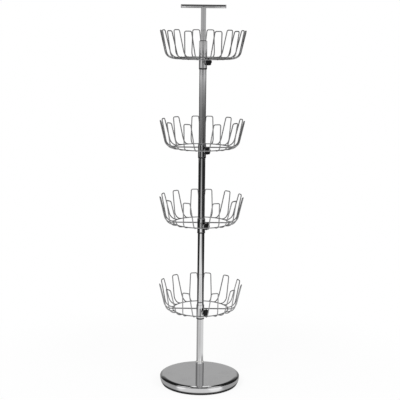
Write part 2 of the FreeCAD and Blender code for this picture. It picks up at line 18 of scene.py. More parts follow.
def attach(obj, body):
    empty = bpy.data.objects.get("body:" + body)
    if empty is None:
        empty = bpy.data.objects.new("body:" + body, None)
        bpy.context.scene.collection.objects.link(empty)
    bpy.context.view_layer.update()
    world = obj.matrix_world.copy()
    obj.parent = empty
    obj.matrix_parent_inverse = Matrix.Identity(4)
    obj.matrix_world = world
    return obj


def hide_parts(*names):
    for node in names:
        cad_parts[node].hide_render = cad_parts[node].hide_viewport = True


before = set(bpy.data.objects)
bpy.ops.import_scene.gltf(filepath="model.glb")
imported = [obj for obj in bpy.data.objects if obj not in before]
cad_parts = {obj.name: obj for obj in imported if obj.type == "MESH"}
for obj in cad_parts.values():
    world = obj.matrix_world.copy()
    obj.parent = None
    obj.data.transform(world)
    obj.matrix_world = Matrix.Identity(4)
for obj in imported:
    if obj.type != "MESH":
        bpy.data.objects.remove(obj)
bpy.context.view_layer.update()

Array = np.ndarray
Tint = tuple[float, float, float]
Edge = tuple[float, float]
Corner = tuple[float, float, float]
Input = "float | Sequence[float] | Value"

MM = 0.001
BLACK = (0.0, 0.0, 0.0, 1.0)
WHITE = (1.0, 1.0, 1.0, 1.0)
UP = (0.0, 0.0, 1.0)
DOWN = (0.0, 0.0, -1.0)
TIERS = {"bottom": 249.0, "lower": 534.0, "upper": 776.0, "top": 1054.0}
LOG = logging.getLogger("shoe_tower")


class Slot(Enum):
    """The material slots."""

    PLATE = "chrome_plate"
    TUBE = "chrome_tube"
    WIRE = "chrome_wire"
    IRON = "cast_iron"
    RUBBER = "black_rubber"
    ZINC = "zinc_steel"
    NYLON = "natural_nylon"
    PLASTIC = "black_plastic"


class Lay(Enum):
    """Which way the fine polishing lines of a metal run."""

    TURNED = "round the upright axis"
    CLOUDY = "in no direction"


# ---- shader building -----------------------------------------------------------------------


class Value:
    """A shader socket that takes part in sums; every operator adds the Math node it needs."""

    def __init__(self, shader: "Shader", socket: bpy.types.NodeSocket) -> None:
        """Keeps the socket and the shader that it belongs to."""
        self.shader = shader
        self.socket = socket

    def math(self, operation: str, *others: "float | Value", first: bool = True) -> "Value":
        """Adds one Math node.

        Args:
            operation: the Math node's operation.
            others: the other numbers or values, in the node's order.
            first: whether this value comes before the others.

        Returns:
            The node's result.
        """
        terms = (self, *others) if first else (*others, self)
        names = ("Value", "Value_001", "Value_002")
        node = self.shader.add("ShaderNodeMath", {"operation": operation}, dict(zip(names, terms)))
        return self.shader.out(node, "Value")

    def __add__(self, other: "float | Value") -> "Value":
        """self + other."""
        return self.math("ADD", other)

    def __radd__(self, other: float) -> "Value":
        """other + self."""
        return self.math("ADD", other)

    def __sub__(self, other: "float | Value") -> "Value":
        """self - other."""
        return self.math("SUBTRACT", other)

    def __rsub__(self, other: float) -> "Value":
        """other - self."""
        return self.math("SUBTRACT", other, first=False)

    def __mul__(self, other: "float | Value") -> "Value":
        """self * other."""
        return self.math("MULTIPLY", other)

    def __rmul__(self, other: float) -> "Value":
        """other * self."""
        return self.math("MULTIPLY", other)

    def __truediv__(self, other: "float | Value") -> "Value":
        """self / other."""
        return self.math("DIVIDE", other)

    def __rtruediv__(self, other: float) -> "Value":
        """other / self."""
        return self.math("DIVIDE", other, first=False)

    def __neg__(self) -> "Value":
        """-self."""
        return self.math("MULTIPLY", -1.0)

    def above(self, edge: Edge) -> "Value":
        """A soft step upwards.

        Args:
            edge: the values at which the step starts and ends.

        Returns:
            0 below the edge, 1 above it, smooth between.
        """
        node = self.shader.add(
            "ShaderNodeMapRange",
            {"interpolation_type": "SMOOTHSTEP"},
            {"Value": self, "From Min": edge[0], "From Max": edge[1]},
        )
        return self.shader.out(node, "Result")

    def below(self, edge: Edge) -> "Value":
        """A soft step downwards: 1 below the edge, 0 above it."""
        return 1.0 - self.above(edge)

    def within(self, start: Edge, end: Edge) -> "Value":
        """1 between two soft edges, 0 outside them."""
        return self.above(start) * self.below(end)


class Shader:
    """A node tree, filled by one method that makes any node."""

    def __init__(self, owner: bpy.types.Material | bpy.types.World) -> None:
        """Empties the owner's tree.

        Args:
            owner: the material or world that the tree belongs to.
        """
        owner.use_nodes = True
        self.tree = owner.node_tree
        self.tree.nodes.clear()

    def add(
        self, kind: str, settings: Mapping | None = None, inputs: Mapping | None = None
    ) -> bpy.types.Node:
        """Makes a node, sets it up, then fills its sockets.

        Args:
            kind: the node's type.
            settings: the node's own settings, set first.
            inputs: a number, colour or value for each socket, by its identifier.

        Returns:
            The node.
        """
        node = self.tree.nodes.new(kind)
        for name, setting in (settings or {}).items():
            setattr(node, name, setting)
        sockets = {socket.identifier: socket for socket in node.inputs}
        for name, given in (inputs or {}).items():
            if isinstance(given, Value):
                self.tree.links.new(given.socket, sockets[name])
            else:
                sockets[name].default_value = given
        return node

    def out(self, node: bpy.types.Node, name: str) -> Value:
        """One output of a node, by its identifier."""
        sockets = {socket.identifier: socket for socket in node.outputs}
        return Value(self, sockets[name])

    def object_place(self) -> Value:
        """Object coordinates, in metres."""
        return self.out(self.add("ShaderNodeTexCoord"), "Object")

    def rays(self) -> tuple[Value, Value]:
        """Two switches: 1 for what the camera sees, and 1 for what a mirror sees."""
        path = self.add("ShaderNodeLightPath")
        return self.out(path, "Is Camera Ray"), self.out(path, "Is Glossy Ray")

    def axes(self, place: Value) -> list[Value]:
        """The X, Y and Z of a place."""
        parts = self.add("ShaderNodeSeparateXYZ", {}, {"Vector": place})
        return [self.out(parts, axis) for axis in "XYZ"]

    def length(self, place: Value) -> Value:
        """The distance of a place from the origin."""
        node = self.add("ShaderNodeVectorMath", {"operation": "LENGTH"}, {"Vector": place})
        return self.out(node, "Value")

    def stretched(self, place: Value, scale: Sequence[float]) -> Value:
        """A place multiplied by a scale for each axis.

        Args:
            place: the place.
            scale: three factors.

        Returns:
            The stretched place.
        """
        terms = {"Vector": place, "Vector_001": scale}
        node = self.add("ShaderNodeVectorMath", {"operation": "MULTIPLY"}, terms)
        return self.out(node, "Vector")

    def around(self, place: Value, fine: float, along: float) -> Value:
        """Coordinates for lines that run round the upright axis.

        Args:
            place: the object coordinates.
            fine: lines per metre, out from the axis and up.
            along: how often a line changes per metre of its run.

        Returns:
            A vector of (distance from the axis, height, a slow part of the place).
        """
        away = self.length(self.stretched(place, (1.0, 1.0, 0.0)))
        across, back, height = self.axes(place)
        parts = {"X": away * fine, "Y": height * fine, "Z": (across + back) * along}
        return self.out(self.add("ShaderNodeCombineXYZ", {}, parts), "Vector")

    def noise(self, place: Value, scale: float, detail: float = 2.0, rough: float = 0.5) -> Value:
        """Cloudy noise, 0 to 1.

        Args:
            place: where it is read.
            scale: spots per metre of that place.
            detail: octaves.
            rough: how strong the finer octaves are.

        Returns:
            The noise's value.
        """
        inputs = {"Vector": place, "Scale": scale, "Detail": detail, "Roughness": rough}
        return self.out(self.add("ShaderNodeTexNoise", {}, inputs), "Fac")

    def speckle(self, place: Value, scale: float) -> Value:
        """Distance to the nearest of many scattered points, 0 to about 1."""
        node = self.add("ShaderNodeTexVoronoi", {}, {"Vector": place, "Scale": scale})
        return self.out(node, "Distance")

    def mixed(self, factor: "float | Value", first: Input, second: Input) -> Value:
        """Mixes two colours.

        Args:
            factor: 0 for the first colour, 1 for the second.
            first: the first colour.
            second: the second colour.

        Returns:
            The mixed colour.
        """
        inputs = {"Factor_Float": factor, "A_Color": first, "B_Color": second}
        return self.out(self.add("ShaderNodeMix", {"data_type": "RGBA"}, inputs), "Result_Color")

    def bumped(self, height: Value, depth: float, strength: float) -> Value:
        """Tilts the normal by the slope of a height.

        Args:
            height: the height, 0 to 1.
            depth: how deep the whole height is, in metres.
            strength: how much of the tilt is kept.

        Returns:
            The normal.
        """
        inputs = {"Height": height, "Distance": depth, "Strength": strength}
        return self.out(self.add("ShaderNodeBump", {}, inputs), "Normal")

    def finish(self, kind: str, surface: Value) -> None:
        """Joins a surface or background to the output node of that kind."""
        self.add(kind, {}, {"Surface": surface})


def opaque(tint: Sequence[float], share: float = 1.0) -> tuple[float, float, float, float]:
    """A colour with its fourth part, made lighter or darker by a share."""
    return (tint[0] * share, tint[1] * share, tint[2] * share, 1.0)


# ---- finishes ------------------------------------------------------------------------------


@dataclass(frozen=True)
class Finish:
    """A finish: one Principled surface whose inputs drift from place to place."""

    name: str
    tint: Tint

    def inputs(self, shader: Shader, place: Value) -> dict[str, Input]:
        """What the surface is given; each finish has its own.

        Args:
            shader: the material's tree.
            place: the object coordinates.

        Returns:
            A number, colour or value for each socket, by its identifier.
        """
        raise NotImplementedError(self.name)

    def material(self) -> bpy.types.Material:
        """Builds the node material.

        Returns:
            The material.
        """
        made = bpy.data.materials.new(self.name)
        shader = Shader(made)
        inputs = self.inputs(shader, shader.object_place())
        body = shader.add("ShaderNodeBsdfPrincipled", {}, inputs)
        shader.finish("ShaderNodeOutputMaterial", shader.out(body, "BSDF"))
        return made


@dataclass(frozen=True)
class Chrome(Finish):
    """Bright chrome: near mirror, with faint polishing lines and handling haze."""

    lay: Lay = Lay.CLOUDY
    clean: float = 0.035
    hazy: float = 0.11
    lines: float = 9000.0
    depth: float = 0.0000006
    relief: float = 0.25
    line_run: float = 40.0
    cloudy_lines: float = 0.35
    line_rough: float = 0.012
    cloud: float = 26.0
    cloud_edge: Edge = (0.42, 0.72)
    cloud_share: float = 0.65
    smear: float = 95.0
    smear_edge: Edge = (0.5, 0.8)
    smear_long: float = 0.35
    hazed_tint: float = 0.965

    def inputs(self, shader: Shader, place: Value) -> dict[str, Input]:
        """Metal whose roughness and tint drift with haze, under fine polishing lines.

        Args:
            shader: the material's tree.
            place: the object coordinates.

        Returns:
            The surface's inputs.
        """
        cloud = shader.noise(place, self.cloud, 3.0).above(self.cloud_edge)
        upright = shader.stretched(place, (1.0, 1.0, self.smear_long))
        smear = shader.noise(upright, self.smear, 4.0, 0.6).above(self.smear_edge)
        haze = cloud * self.cloud_share + smear * (1.0 - self.cloud_share)
        if self.lay is Lay.TURNED:
            grain = shader.noise(shader.around(place, self.lines, self.line_run), 1.0, 1.0)
        else:
            grain = shader.noise(place, self.lines * self.cloudy_lines, 2.0)
        rough = haze * (self.hazy - self.clean) + self.clean + grain * self.line_rough
        return {
            "Base Color": shader.mixed(haze, opaque(self.tint), opaque(self.tint, self.hazed_tint)),
            "Metallic": 1.0,
            "Roughness": rough,
            "Normal": shader.bumped(grain, self.depth, self.relief),
        }


@dataclass(frozen=True)
class Moulded(Finish):
    """Moulded plastic: fine spark-eroded grain, with slightly glossier worn spots."""

    pale: float = 1.6
    rough: float = 0.42
    grain: float = 2600.0
    depth: float = 0.00003
    sheen: float = 0.5
    relief: float = 0.35
    drift: float = 120.0
    drift_edge: Edge = (0.35, 0.75)
    drift_share: float = 0.6
    drift_rough: float = 0.12
    grain_rough: float = 0.1

    def inputs(self, shader: Shader, place: Value) -> dict[str, Input]:
        """Plastic with a grain in the bump and drifting gloss.

        Args:
            shader: the material's tree.
            place: the object coordinates.

        Returns:
            The surface's inputs.
        """
        grain = shader.noise(place, self.grain, 3.0, 0.6)
        drift = shader.noise(place, self.drift, 3.0).above(self.drift_edge)
        pale = drift * self.drift_share + grain * (1.0 - self.drift_share)
        uneven = drift * self.drift_rough + grain * self.grain_rough
        rough = uneven + (self.rough - self.grain_rough)
        return {
            "Base Color": shader.mixed(pale, opaque(self.tint), opaque(self.tint, self.pale)),
            "Roughness": rough,
            "Specular IOR Level": self.sheen,
            "Normal": shader.bumped(grain, self.depth, self.relief),
        }


@dataclass(frozen=True)
class Rough(Finish):
    """A coarse skin such as cast iron or rubber: pitted bump and two tones."""

    spots: Tint
    metal: float
    rough: float
    pits: float
    depth: float
    relief: float = 0.6
    patches: float = 0.06
    patch_edge: Edge = (0.45, 0.75)
    patch_share: float = 0.7
    uneven: float = 0.1

    def inputs(self, shader: Shader, place: Value) -> dict[str, Input]:
        """A dull skin, spotted by noise and pitted by its bump.

        Args:
            shader: the material's tree.
            place: the object coordinates.

        Returns:
            The surface's inputs.
        """
        pits = shader.noise(place, self.pits, 4.0, 0.65)
        patches = shader.noise(place, self.pits * self.patches, 3.0).above(self.patch_edge)
        spotted = patches * self.patch_share + pits * (1.0 - self.patch_share)
        return {
            "Base Color": shader.mixed(spotted, opaque(self.tint), opaque(self.spots)),
            "Metallic": self.metal,
            "Roughness": patches * self.uneven + pits * self.uneven + (self.rough - self.uneven),
            "Normal": shader.bumped(pits, self.depth, self.relief),
        }


@dataclass(frozen=True)
class Zinc(Finish):
    """Zinc plating: grey metal with a faint yellow and blue bloom and crystal spots."""

    bloom: Tint
    crystals: float = 900.0
    crystal_rough: float = 0.12
    drift: float = 180.0
    drift_edge: Edge = (0.4, 0.7)
    drift_rough: float = 0.08
    rough: float = 0.26
    depth: float = 0.00001
    relief: float = 0.3

    def inputs(self, shader: Shader, place: Value) -> dict[str, Input]:
        """Satin metal whose tint drifts in small patches.

        Args:
            shader: the material's tree.
            place: the object coordinates.

        Returns:
            The surface's inputs.
        """
        crystals = shader.speckle(place, self.crystals)
        drift = shader.noise(place, self.drift, 3.0).above(self.drift_edge)
        return {
            "Base Color": shader.mixed(drift, opaque(self.tint), opaque(self.bloom)),
            "Metallic": 1.0,
            "Roughness": crystals * self.crystal_rough + drift * self.drift_rough + self.rough,
            "Normal": shader.bumped(crystals, self.depth, self.relief),
        }


FINISHES: dict[Slot, Finish] = {
    Slot.PLATE: Chrome("chrome_plate", (0.80, 0.80, 0.805), Lay.TURNED, lines=5000.0),
    Slot.TUBE: Chrome("chrome_tube", (0.78, 0.78, 0.785), Lay.TURNED),
    Slot.WIRE: Chrome("chrome_wire", (0.46, 0.46, 0.465), clean=0.03, hazy=0.09),
    Slot.IRON: Rough(
        "cast_iron",
        (0.15, 0.15, 0.16),
        spots=(0.20, 0.14, 0.10),
        metal=0.7,
        rough=0.72,
        pits=700.0,
        depth=0.0004,
    ),
    Slot.RUBBER: Rough(
        "black_rubber",
        (0.026, 0.026, 0.027),
        spots=(0.045, 0.044, 0.043),
        metal=0.0,
        rough=0.82,
        pits=1500.0,
        depth=0.00008,
    ),
    Slot.ZINC: Zinc("zinc_steel", (0.62, 0.63, 0.66), bloom=(0.66, 0.64, 0.58)),
    Slot.NYLON: Moulded(
        "natural_nylon", (0.84, 0.83, 0.78), pale=1.06, rough=0.45, grain=1800.0, depth=0.00002
    ),
    Slot.PLASTIC: Moulded("black_plastic", (0.006, 0.006, 0.0064), sheen=0.18),
}


# ---- surfaces ------------------------------------------------------------------------------


@dataclass(frozen=True)
class Surface:
    """A skin of points, in millimetres, and of faces that number them."""

    points: Array
    quads: Array
    fans: Array

    def placed(
        self, origin: Sequence[float], axis: Sequence[float], side: Sequence[float]
    ) -> "Surface":
        """Sets a surface made round +Z along another axis.

        Args:
            origin: where its own origin goes.
            axis: where its +Z points.
            side: where its +X points, square to the axis.

        Returns:
            The surface at its new place: a point is origin + x side + y (axis x side) + z axis.
        """
        upward = np.asarray(axis, float) / np.linalg.norm(axis)
        right = np.asarray(side, float) / np.linalg.norm(side)
        basis = np.stack([right, np.cross(upward, right), upward])
        return Surface(self.points @ basis + np.asarray(origin, float), self.quads, self.fans)

    def turned(self, degrees: float) -> "Surface":
        """The surface swung round +Z."""
        angle = math.radians(degrees)
        return self.placed((0, 0, 0), (0, 0, 1), (math.cos(angle), math.sin(angle), 0))

    def raised(self, height: float) -> "Surface":
        """The surface moved up."""
        return Surface(self.points + (0.0, 0.0, height), self.quads, self.fans)


def skin(rings: Array, joined: bool) -> Surface:
    """Joins closed rings of points into a skin that faces outwards.

    Face (i, j) takes the points (i, j), (i, j + 1), (i + 1, j + 1) and (i + 1, j), counted round.

    Args:
        rings: points as rows of rings, each ring counter-clockwise about the way the rows go.
        joined: whether the last ring meets the first; otherwise a fan closes each end.

    Returns:
        The closed surface.
    """
    rows, columns = rings.shape[:2]
    index = np.arange(rows * columns).reshape(rows, columns)
    beside = np.roll(index, -1, axis=1)
    if joined:
        ahead, corner = np.roll(index, -1, axis=0), np.roll(beside, -1, axis=0)
        quads = np.stack([index, beside, corner, ahead], axis=-1).reshape(-1, 4)
        return Surface(rings.reshape(-1, 3), quads, np.zeros((0, 3), int))
    quads = np.stack([index[:-1], beside[:-1], beside[1:], index[1:]], axis=-1).reshape(-1, 4)
    ends = np.stack([rings[0].mean(axis=0), rings[-1].mean(axis=0)])
    first = np.full(columns, rows * columns)
    start = np.stack([beside[0], index[0], first], axis=-1)
    finish = np.stack([index[-1], beside[-1], first + 1], axis=-1)
    return Surface(np.vstack([rings.reshape(-1, 3), ends]), quads, np.vstack([start, finish]))


def spread(centre: Array, first: Array, last: Array, radius: float, steps: int) -> Array:
    """Points of an arc about a centre, in any number of dimensions.

    The point at share s is centre + radius (sin((1 - s) a) u + sin(s a) v) / sin a, where u and v
    are the two directions and a is the angle between them.

    Args:
        centre: the arc's centre.
        first: unit direction of the first point.
        last: unit direction of the last point.
        radius: the arc's radius.
        steps: how many runs it is divided into.

    Returns:
        steps + 1 points.
    """
    angle = math.acos(float(np.clip(first @ last, -1.0, 1.0)))
    share = np.linspace(0.0, 1.0, steps + 1)[:, None]
    arms = (np.sin((1 - share) * angle) * first + np.sin(share * angle) * last) / math.sin(angle)
    return centre + radius * arms


def arc(start: Sequence[float], end: Sequence[float], radius: float, steps: int) -> Array:
    """Points on a flat arc that bows to the right of the run from start to end.

    Args:
        start: first point, (radius, height).
        end: last point.
        radius: the arc's radius.
        steps: how many runs it is divided into.

    Returns:
        steps + 1 points.
    """
    first, last = np.asarray(start, float), np.asarray(end, float)
    run = last - first
    half = np.linalg.norm(run) / 2
    right = np.array([run[1], -run[0]]) / (2 * half)
    centre = (first + last) / 2 - right * math.sqrt(radius**2 - half**2)
    return spread(centre, (first - centre) / radius, (last - centre) / radius, radius, steps)


def corner_arms(before: Array, corner: Array, after: Array) -> tuple[Array, Array, float]:
    """How two runs meet in a corner.

    Args:
        before: the point before the corner.
        corner: the corner.
        after: the point after it.

    Returns:
        The unit directions back and ahead, and half the angle between them.
    """
    back = (before - corner) / np.linalg.norm(before - corner)
    ahead = (after - corner) / np.linalg.norm(after - corner)
    return back, ahead, math.acos(float(np.clip(back @ ahead, -1.0, 1.0))) / 2


def bend(before: Array, corner: Array, after: Array, tangent: float, steps: int) -> Array:
    """The arc that rounds a corner: it touches both runs a tangent's length from the corner.

    Args:
        before: the point before the corner.
        corner: the corner.
        after: the point after it.
        tangent: how far from the corner the arc starts and ends.
        steps: how many runs the arc is divided into.

    Returns:
        The arc's points.
    """
    back, ahead, half = corner_arms(before, corner, after)
    radius = tangent * math.tan(half)
    middle = (back + ahead) / np.linalg.norm(back + ahead)
    centre = corner + middle * (tangent / math.cos(half))
    first = (corner + back * tangent - centre) / radius
    last = (corner + ahead * tangent - centre) / radius
    return spread(centre, first, last, radius, steps)


def outline(corners: Sequence[Corner], joined: bool, steps: int = 6) -> Array:
    """A flat outline with rounded corners, each held by a point close on both sides.

    Args:
        corners: (radius, height, rounding); a rounding of 0 keeps the corner as it is.
        joined: whether the outline closes on itself.
        steps: runs in each rounding.

    Returns:
        The outline's points in order.
    """
    spots = [np.array(corner[:2], float) for corner in corners]
    longest_hold = 0.4
    pieces: list[Array] = []
    for number, (_, _, rounding) in enumerate(corners):
        here = spots[number]
        at_end = not joined and number in (0, len(spots) - 1)
        if at_end or rounding <= 0:
            pieces.append(here[None, :])
            continue
        before, after = spots[number - 1], spots[(number + 1) % len(spots)]
        back, ahead, half = corner_arms(before, here, after)
        tangent = rounding / math.tan(half)
        reach = tangent + min(0.5 * tangent, longest_hold)
        curve = bend(before, here, after, tangent, steps)
        pieces.append(np.vstack([here + back * reach, curve, here + ahead * reach]))
    return np.vstack(pieces)


def turns(columns: int) -> Array:
    """Equal steps of a full turn, in radians."""
    return np.arange(columns) * (2 * math.pi / columns)


def rings_round(radius: Array, height: Array, columns: int) -> Array:
    """Rings round +Z: point (i, t) is (r_it cos t, r_it sin t, z_i).

    Args:
        radius: for each ring, one radius or one for each of its points.
        height: for each ring, its height, as a column.
        columns: points in each ring.

    Returns:
        The points, as rows of rings.
    """
    rings = np.empty((len(height), columns, 3))
    rings[..., 0] = radius * np.cos(turns(columns))
    rings[..., 1] = radius * np.sin(turns(columns))
    rings[..., 2] = height
    return rings


def lathe(profile: Array, joined: bool, columns: int) -> Surface:
    """Turns an outline round +Z.

    Args:
        profile: (radius, height) points, going up along the outside.
        joined: whether the outline closes on itself, as a wall does.
        columns: points in each ring.

    Returns:
        The turned surface.
    """
    return skin(rings_round(profile[:, :1], profile[:, 1:], columns), joined)


def pipe(
    outer: float, inner: float, low: float, high: float, edge: float, columns: int = 96
) -> Surface:
    """A tube along +Z with rounded edges.

    Args:
        outer: outer radius.
        inner: inner radius.
        low: height of the lower end.
        high: height of the upper end.
        edge: rounding of its four edges, at most 0.3 of the wall.
        columns: points in each ring.

    Returns:
        The tube's wall, closed at both ends.
    """
    edge = min(edge, 0.3 * (outer - inner))
    corners = [(inner, low, edge), (outer, low, edge), (outer, high, edge), (inner, high, edge)]
    return lathe(outline(corners, True, 4), True, columns)


def rod(path: Array, radii: Array, aside: Sequence[float], sides: int) -> Surface:
    """Carries a circle along a path.

    The way at a point is the mean of the two runs that meet there. The circle lies square to it:
    its point t is path + r (n cos t + b sin t), n being the fixed side direction made square to
    the way and b = way x n.

    Args:
        path: points of the centre line.
        radii: the circle's radius at each point.
        aside: a direction that no part of the path runs along.
        sides: points in each circle.

    Returns:
        The rod, closed at both ends.
    """
    runs = np.diff(path, axis=0)
    runs /= np.linalg.norm(runs, axis=1)[:, None]
    way = np.vstack([runs[:1], runs[:-1] + runs[1:], runs[-1:]])
    way /= np.linalg.norm(way, axis=1)[:, None]
    fixed = np.asarray(aside, float)
    normal = fixed - (way @ fixed)[:, None] * way
    normal /= np.linalg.norm(normal, axis=1)[:, None]
    across = np.cross(way, normal)
    turn = turns(sides)[None, :, None]
    circle = normal[:, None, :] * np.cos(turn) + across[:, None, :] * np.sin(turn)
    return skin(path[:, None, :] + radii[:, None, None] * circle, False)


# ---- pieces --------------------------------------------------------------------------------


@dataclass
class Workshop:
    """Makes the objects: it holds the finishes and counts what it makes."""

    materials: dict[Slot, bpy.types.Material] = field(default_factory=dict)
    made: int = 0

    def material(self, slot: Slot) -> bpy.types.Material:
        """The slot's material, built when it is first asked for.

        Args:
            slot: the slot.

        Returns:
            The material.
        """
        if slot not in self.materials:
            self.materials[slot] = FINISHES[slot].material()
        return self.materials[slot]

    def piece(
        self, name: str, surfaces: Sequence[Surface], slot: Slot, body: str, node: str
    ) -> None:
        """Makes one piece of the tower, at the origin, with its place in its mesh.

        Args:
            name: the piece's name.
            surfaces: its skins, in millimetres.
            slot: the finish it gets.
            body: the frame body it rides on.
            node: the frame node it stands for.
        """
        points = np.vstack([surface.points for surface in surfaces]) * MM
        faces: list[list[int]] = []
        base = 0
        for surface in surfaces:
            faces += (surface.quads + base).tolist() + (surface.fans + base).tolist()
            base += len(surface.points)
        mesh = bpy.data.meshes.new(name)
        mesh.from_pydata(points.tolist(), [], faces)
        mesh.polygons.foreach_set("use_smooth", np.ones(len(faces), bool))
        mesh.materials.append(self.material(slot))
        mesh.update()
        made = bpy.data.objects.new(name, mesh)
        bpy.context.scene.collection.objects.link(made)
        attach(made, body)
        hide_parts(node)
        self.made += 1
        LOG.info("%-26s %6d faces on %s", name, len(faces), body)

    def dress(self, node: str, slot: Slot) -> None:
        """Gives a frame node that stays as it is the finish of its slot.

        Args:
            node: the frame node.
            slot: the finish it gets.
        """
        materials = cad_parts[node].data.materials
        if not len(materials):
            materials.append(self.material(slot))
        for place in range(len(materials)):
            materials[place] = self.material(slot)
        LOG.info("%-26s kept, in %s", node, slot.value)


@dataclass
class Base:
    """The weighted base: pressed cover, rubber pad, collar and what is hidden inside."""

    rim: float = 129.5
    foot: float = 124.5
    low: float = 3.0
    top: float = 27.0
    bulge: float = 33.0
    edge: float = 1.2
    crown: float = 15.0
    drop: float = 2.5
    flat_step: float = 1.5
    flat_rings: tuple[float, ...] = (90.0, 60.0, 30.0, 16.0, 5.2)
    wall: float = 1.5
    inner_side: tuple[float, float] = (0.9, 9.0)
    inner_foot: tuple[float, float] = (1.0, 5.0)
    hole: float = 4.5
    pad: float = 123.5
    pad_hole: float = 4.0
    pad_edges: tuple[float, float] = (0.8, 0.5)
    collar: float = 13.0
    collar_core: float = 0.5
    collar_bore: float = 12.0
    collar_floor: float = 10.0
    collar_top: float = 71.0
    collar_edges: tuple[float, float, float] = (0.25, 0.6, 0.2)
    liner_gap: float = 0.05
    liner_long: float = 29.0
    liner_edges: tuple[float, float, float, float] = (0.2, 0.1, 0.3, 0.25)
    flange: float = 12.4
    flange_low: float = 0.02
    flange_top: float = 72.0
    pole_gap: float = 11.08

    def cover(self) -> Surface:
        """The pressed cover: a flat top, a crown that falls to the rim, and a side that bows out.

        The crown is an arc that starts level where the flat ends, so its radius is
        (crown^2 + drop^2) / (2 drop). A small arc rolls the crown's edge over into the side.

        Returns:
            One closed wall turned round the axis.
        """
        shoulder = self.top - self.drop
        flat_end = self.rim - self.edge - self.crown
        crown_radius = (self.crown**2 + self.drop**2) / (2 * self.drop)
        side = arc((self.foot, self.low), (self.rim, shoulder - self.edge), self.bulge, 24)
        rolled = arc(side[-1], (self.rim - self.edge, shoulder), self.edge, 8)
        crowned = arc(rolled[-1], (flat_end, self.top), crown_radius, 20)
        radii = (flat_end - self.flat_step, *self.flat_rings, self.hole)
        plate = [[radius, self.top] for radius in radii]
        under = self.top - self.wall
        inside = [
            [self.hole, under],
            [flat_end, under],
            [self.rim - self.wall - self.edge, shoulder - self.wall],
            [self.rim - self.wall - self.inner_side[0], shoulder - self.inner_side[1]],
            [self.foot - self.wall + self.inner_foot[0], self.low + self.inner_foot[1]],
            [self.foot - self.wall, self.low],
        ]
        return lathe(np.vstack([side, rolled[1:], crowned[1:], plate, inside]), True, 256)

    def foot_disc(self) -> Surface:
        """The rubber pad, a disc with rounded edges.

        Returns:
            The pad, closed at the axis.
        """
        lower, upper = self.pad_edges
        corners = [
            (self.pad_hole, 0.0, 0.0),
            (self.pad, 0.0, lower),
            (self.pad, self.low, upper),
            (self.pad_hole, self.low, 0.0),
        ]
        return lathe(outline(corners, False), False, 192)

    def cup(self) -> Surface:
        """The collar: a cup with a thick floor that the pole stands in.

        Returns:
            Its wall and floor, closed round the axis.
        """
        foot, lip, mouth = self.collar_edges
        corners = [
            (self.collar_core, self.top, 0.0),
            (self.collar, self.top, foot),
            (self.collar, self.collar_top, lip),
            (self.collar_bore, self.collar_top, mouth),
            (self.collar_bore, self.top + self.collar_floor, 0.0),
            (self.collar_core, self.top + self.collar_floor, 0.0),
        ]
        return lathe(outline(corners, True, 5), True, 128)

    def liner(self) -> Surface:
        """The collar's liner, with a thin flange over the collar's mouth.

        Returns:
            Its wall, closed.
        """
        end, under, rim, mouth = self.liner_edges
        low, outer = self.collar_top - self.liner_long, self.collar_bore - self.liner_gap
        corners = [
            (self.pole_gap, low, end),
            (outer, low, end),
            (outer, self.collar_top, 0.0),
            (self.flange, self.collar_top + self.flange_low, under),
            (self.flange, self.flange_top, rim),
            (self.pole_gap, self.flange_top, mouth),
        ]
        return lathe(outline(corners, True, 4), True, 128)

    def build(self, shop: Workshop) -> None:
        """Makes and dresses the base's pieces.

        Args:
            shop: where they are made.
        """
        shop.piece("cover_pressing", [self.cover()], Slot.PLATE, "base", "base_cover")
        shop.piece("foot_pad", [self.foot_disc()], Slot.RUBBER, "base", "base_pad")
        shop.piece("pole_collar", [self.cup()], Slot.TUBE, "base", "base_socket")
        shop.piece("collar_liner", [self.liner()], Slot.NYLON, "base", "socket_bush")
        shop.dress("base_weight", Slot.IRON)
        shop.dress("socket_bolt", Slot.ZINC)
        shop.dress("bolt_washer", Slot.ZINC)
        shop.dress("thrust_washer", Slot.NYLON)


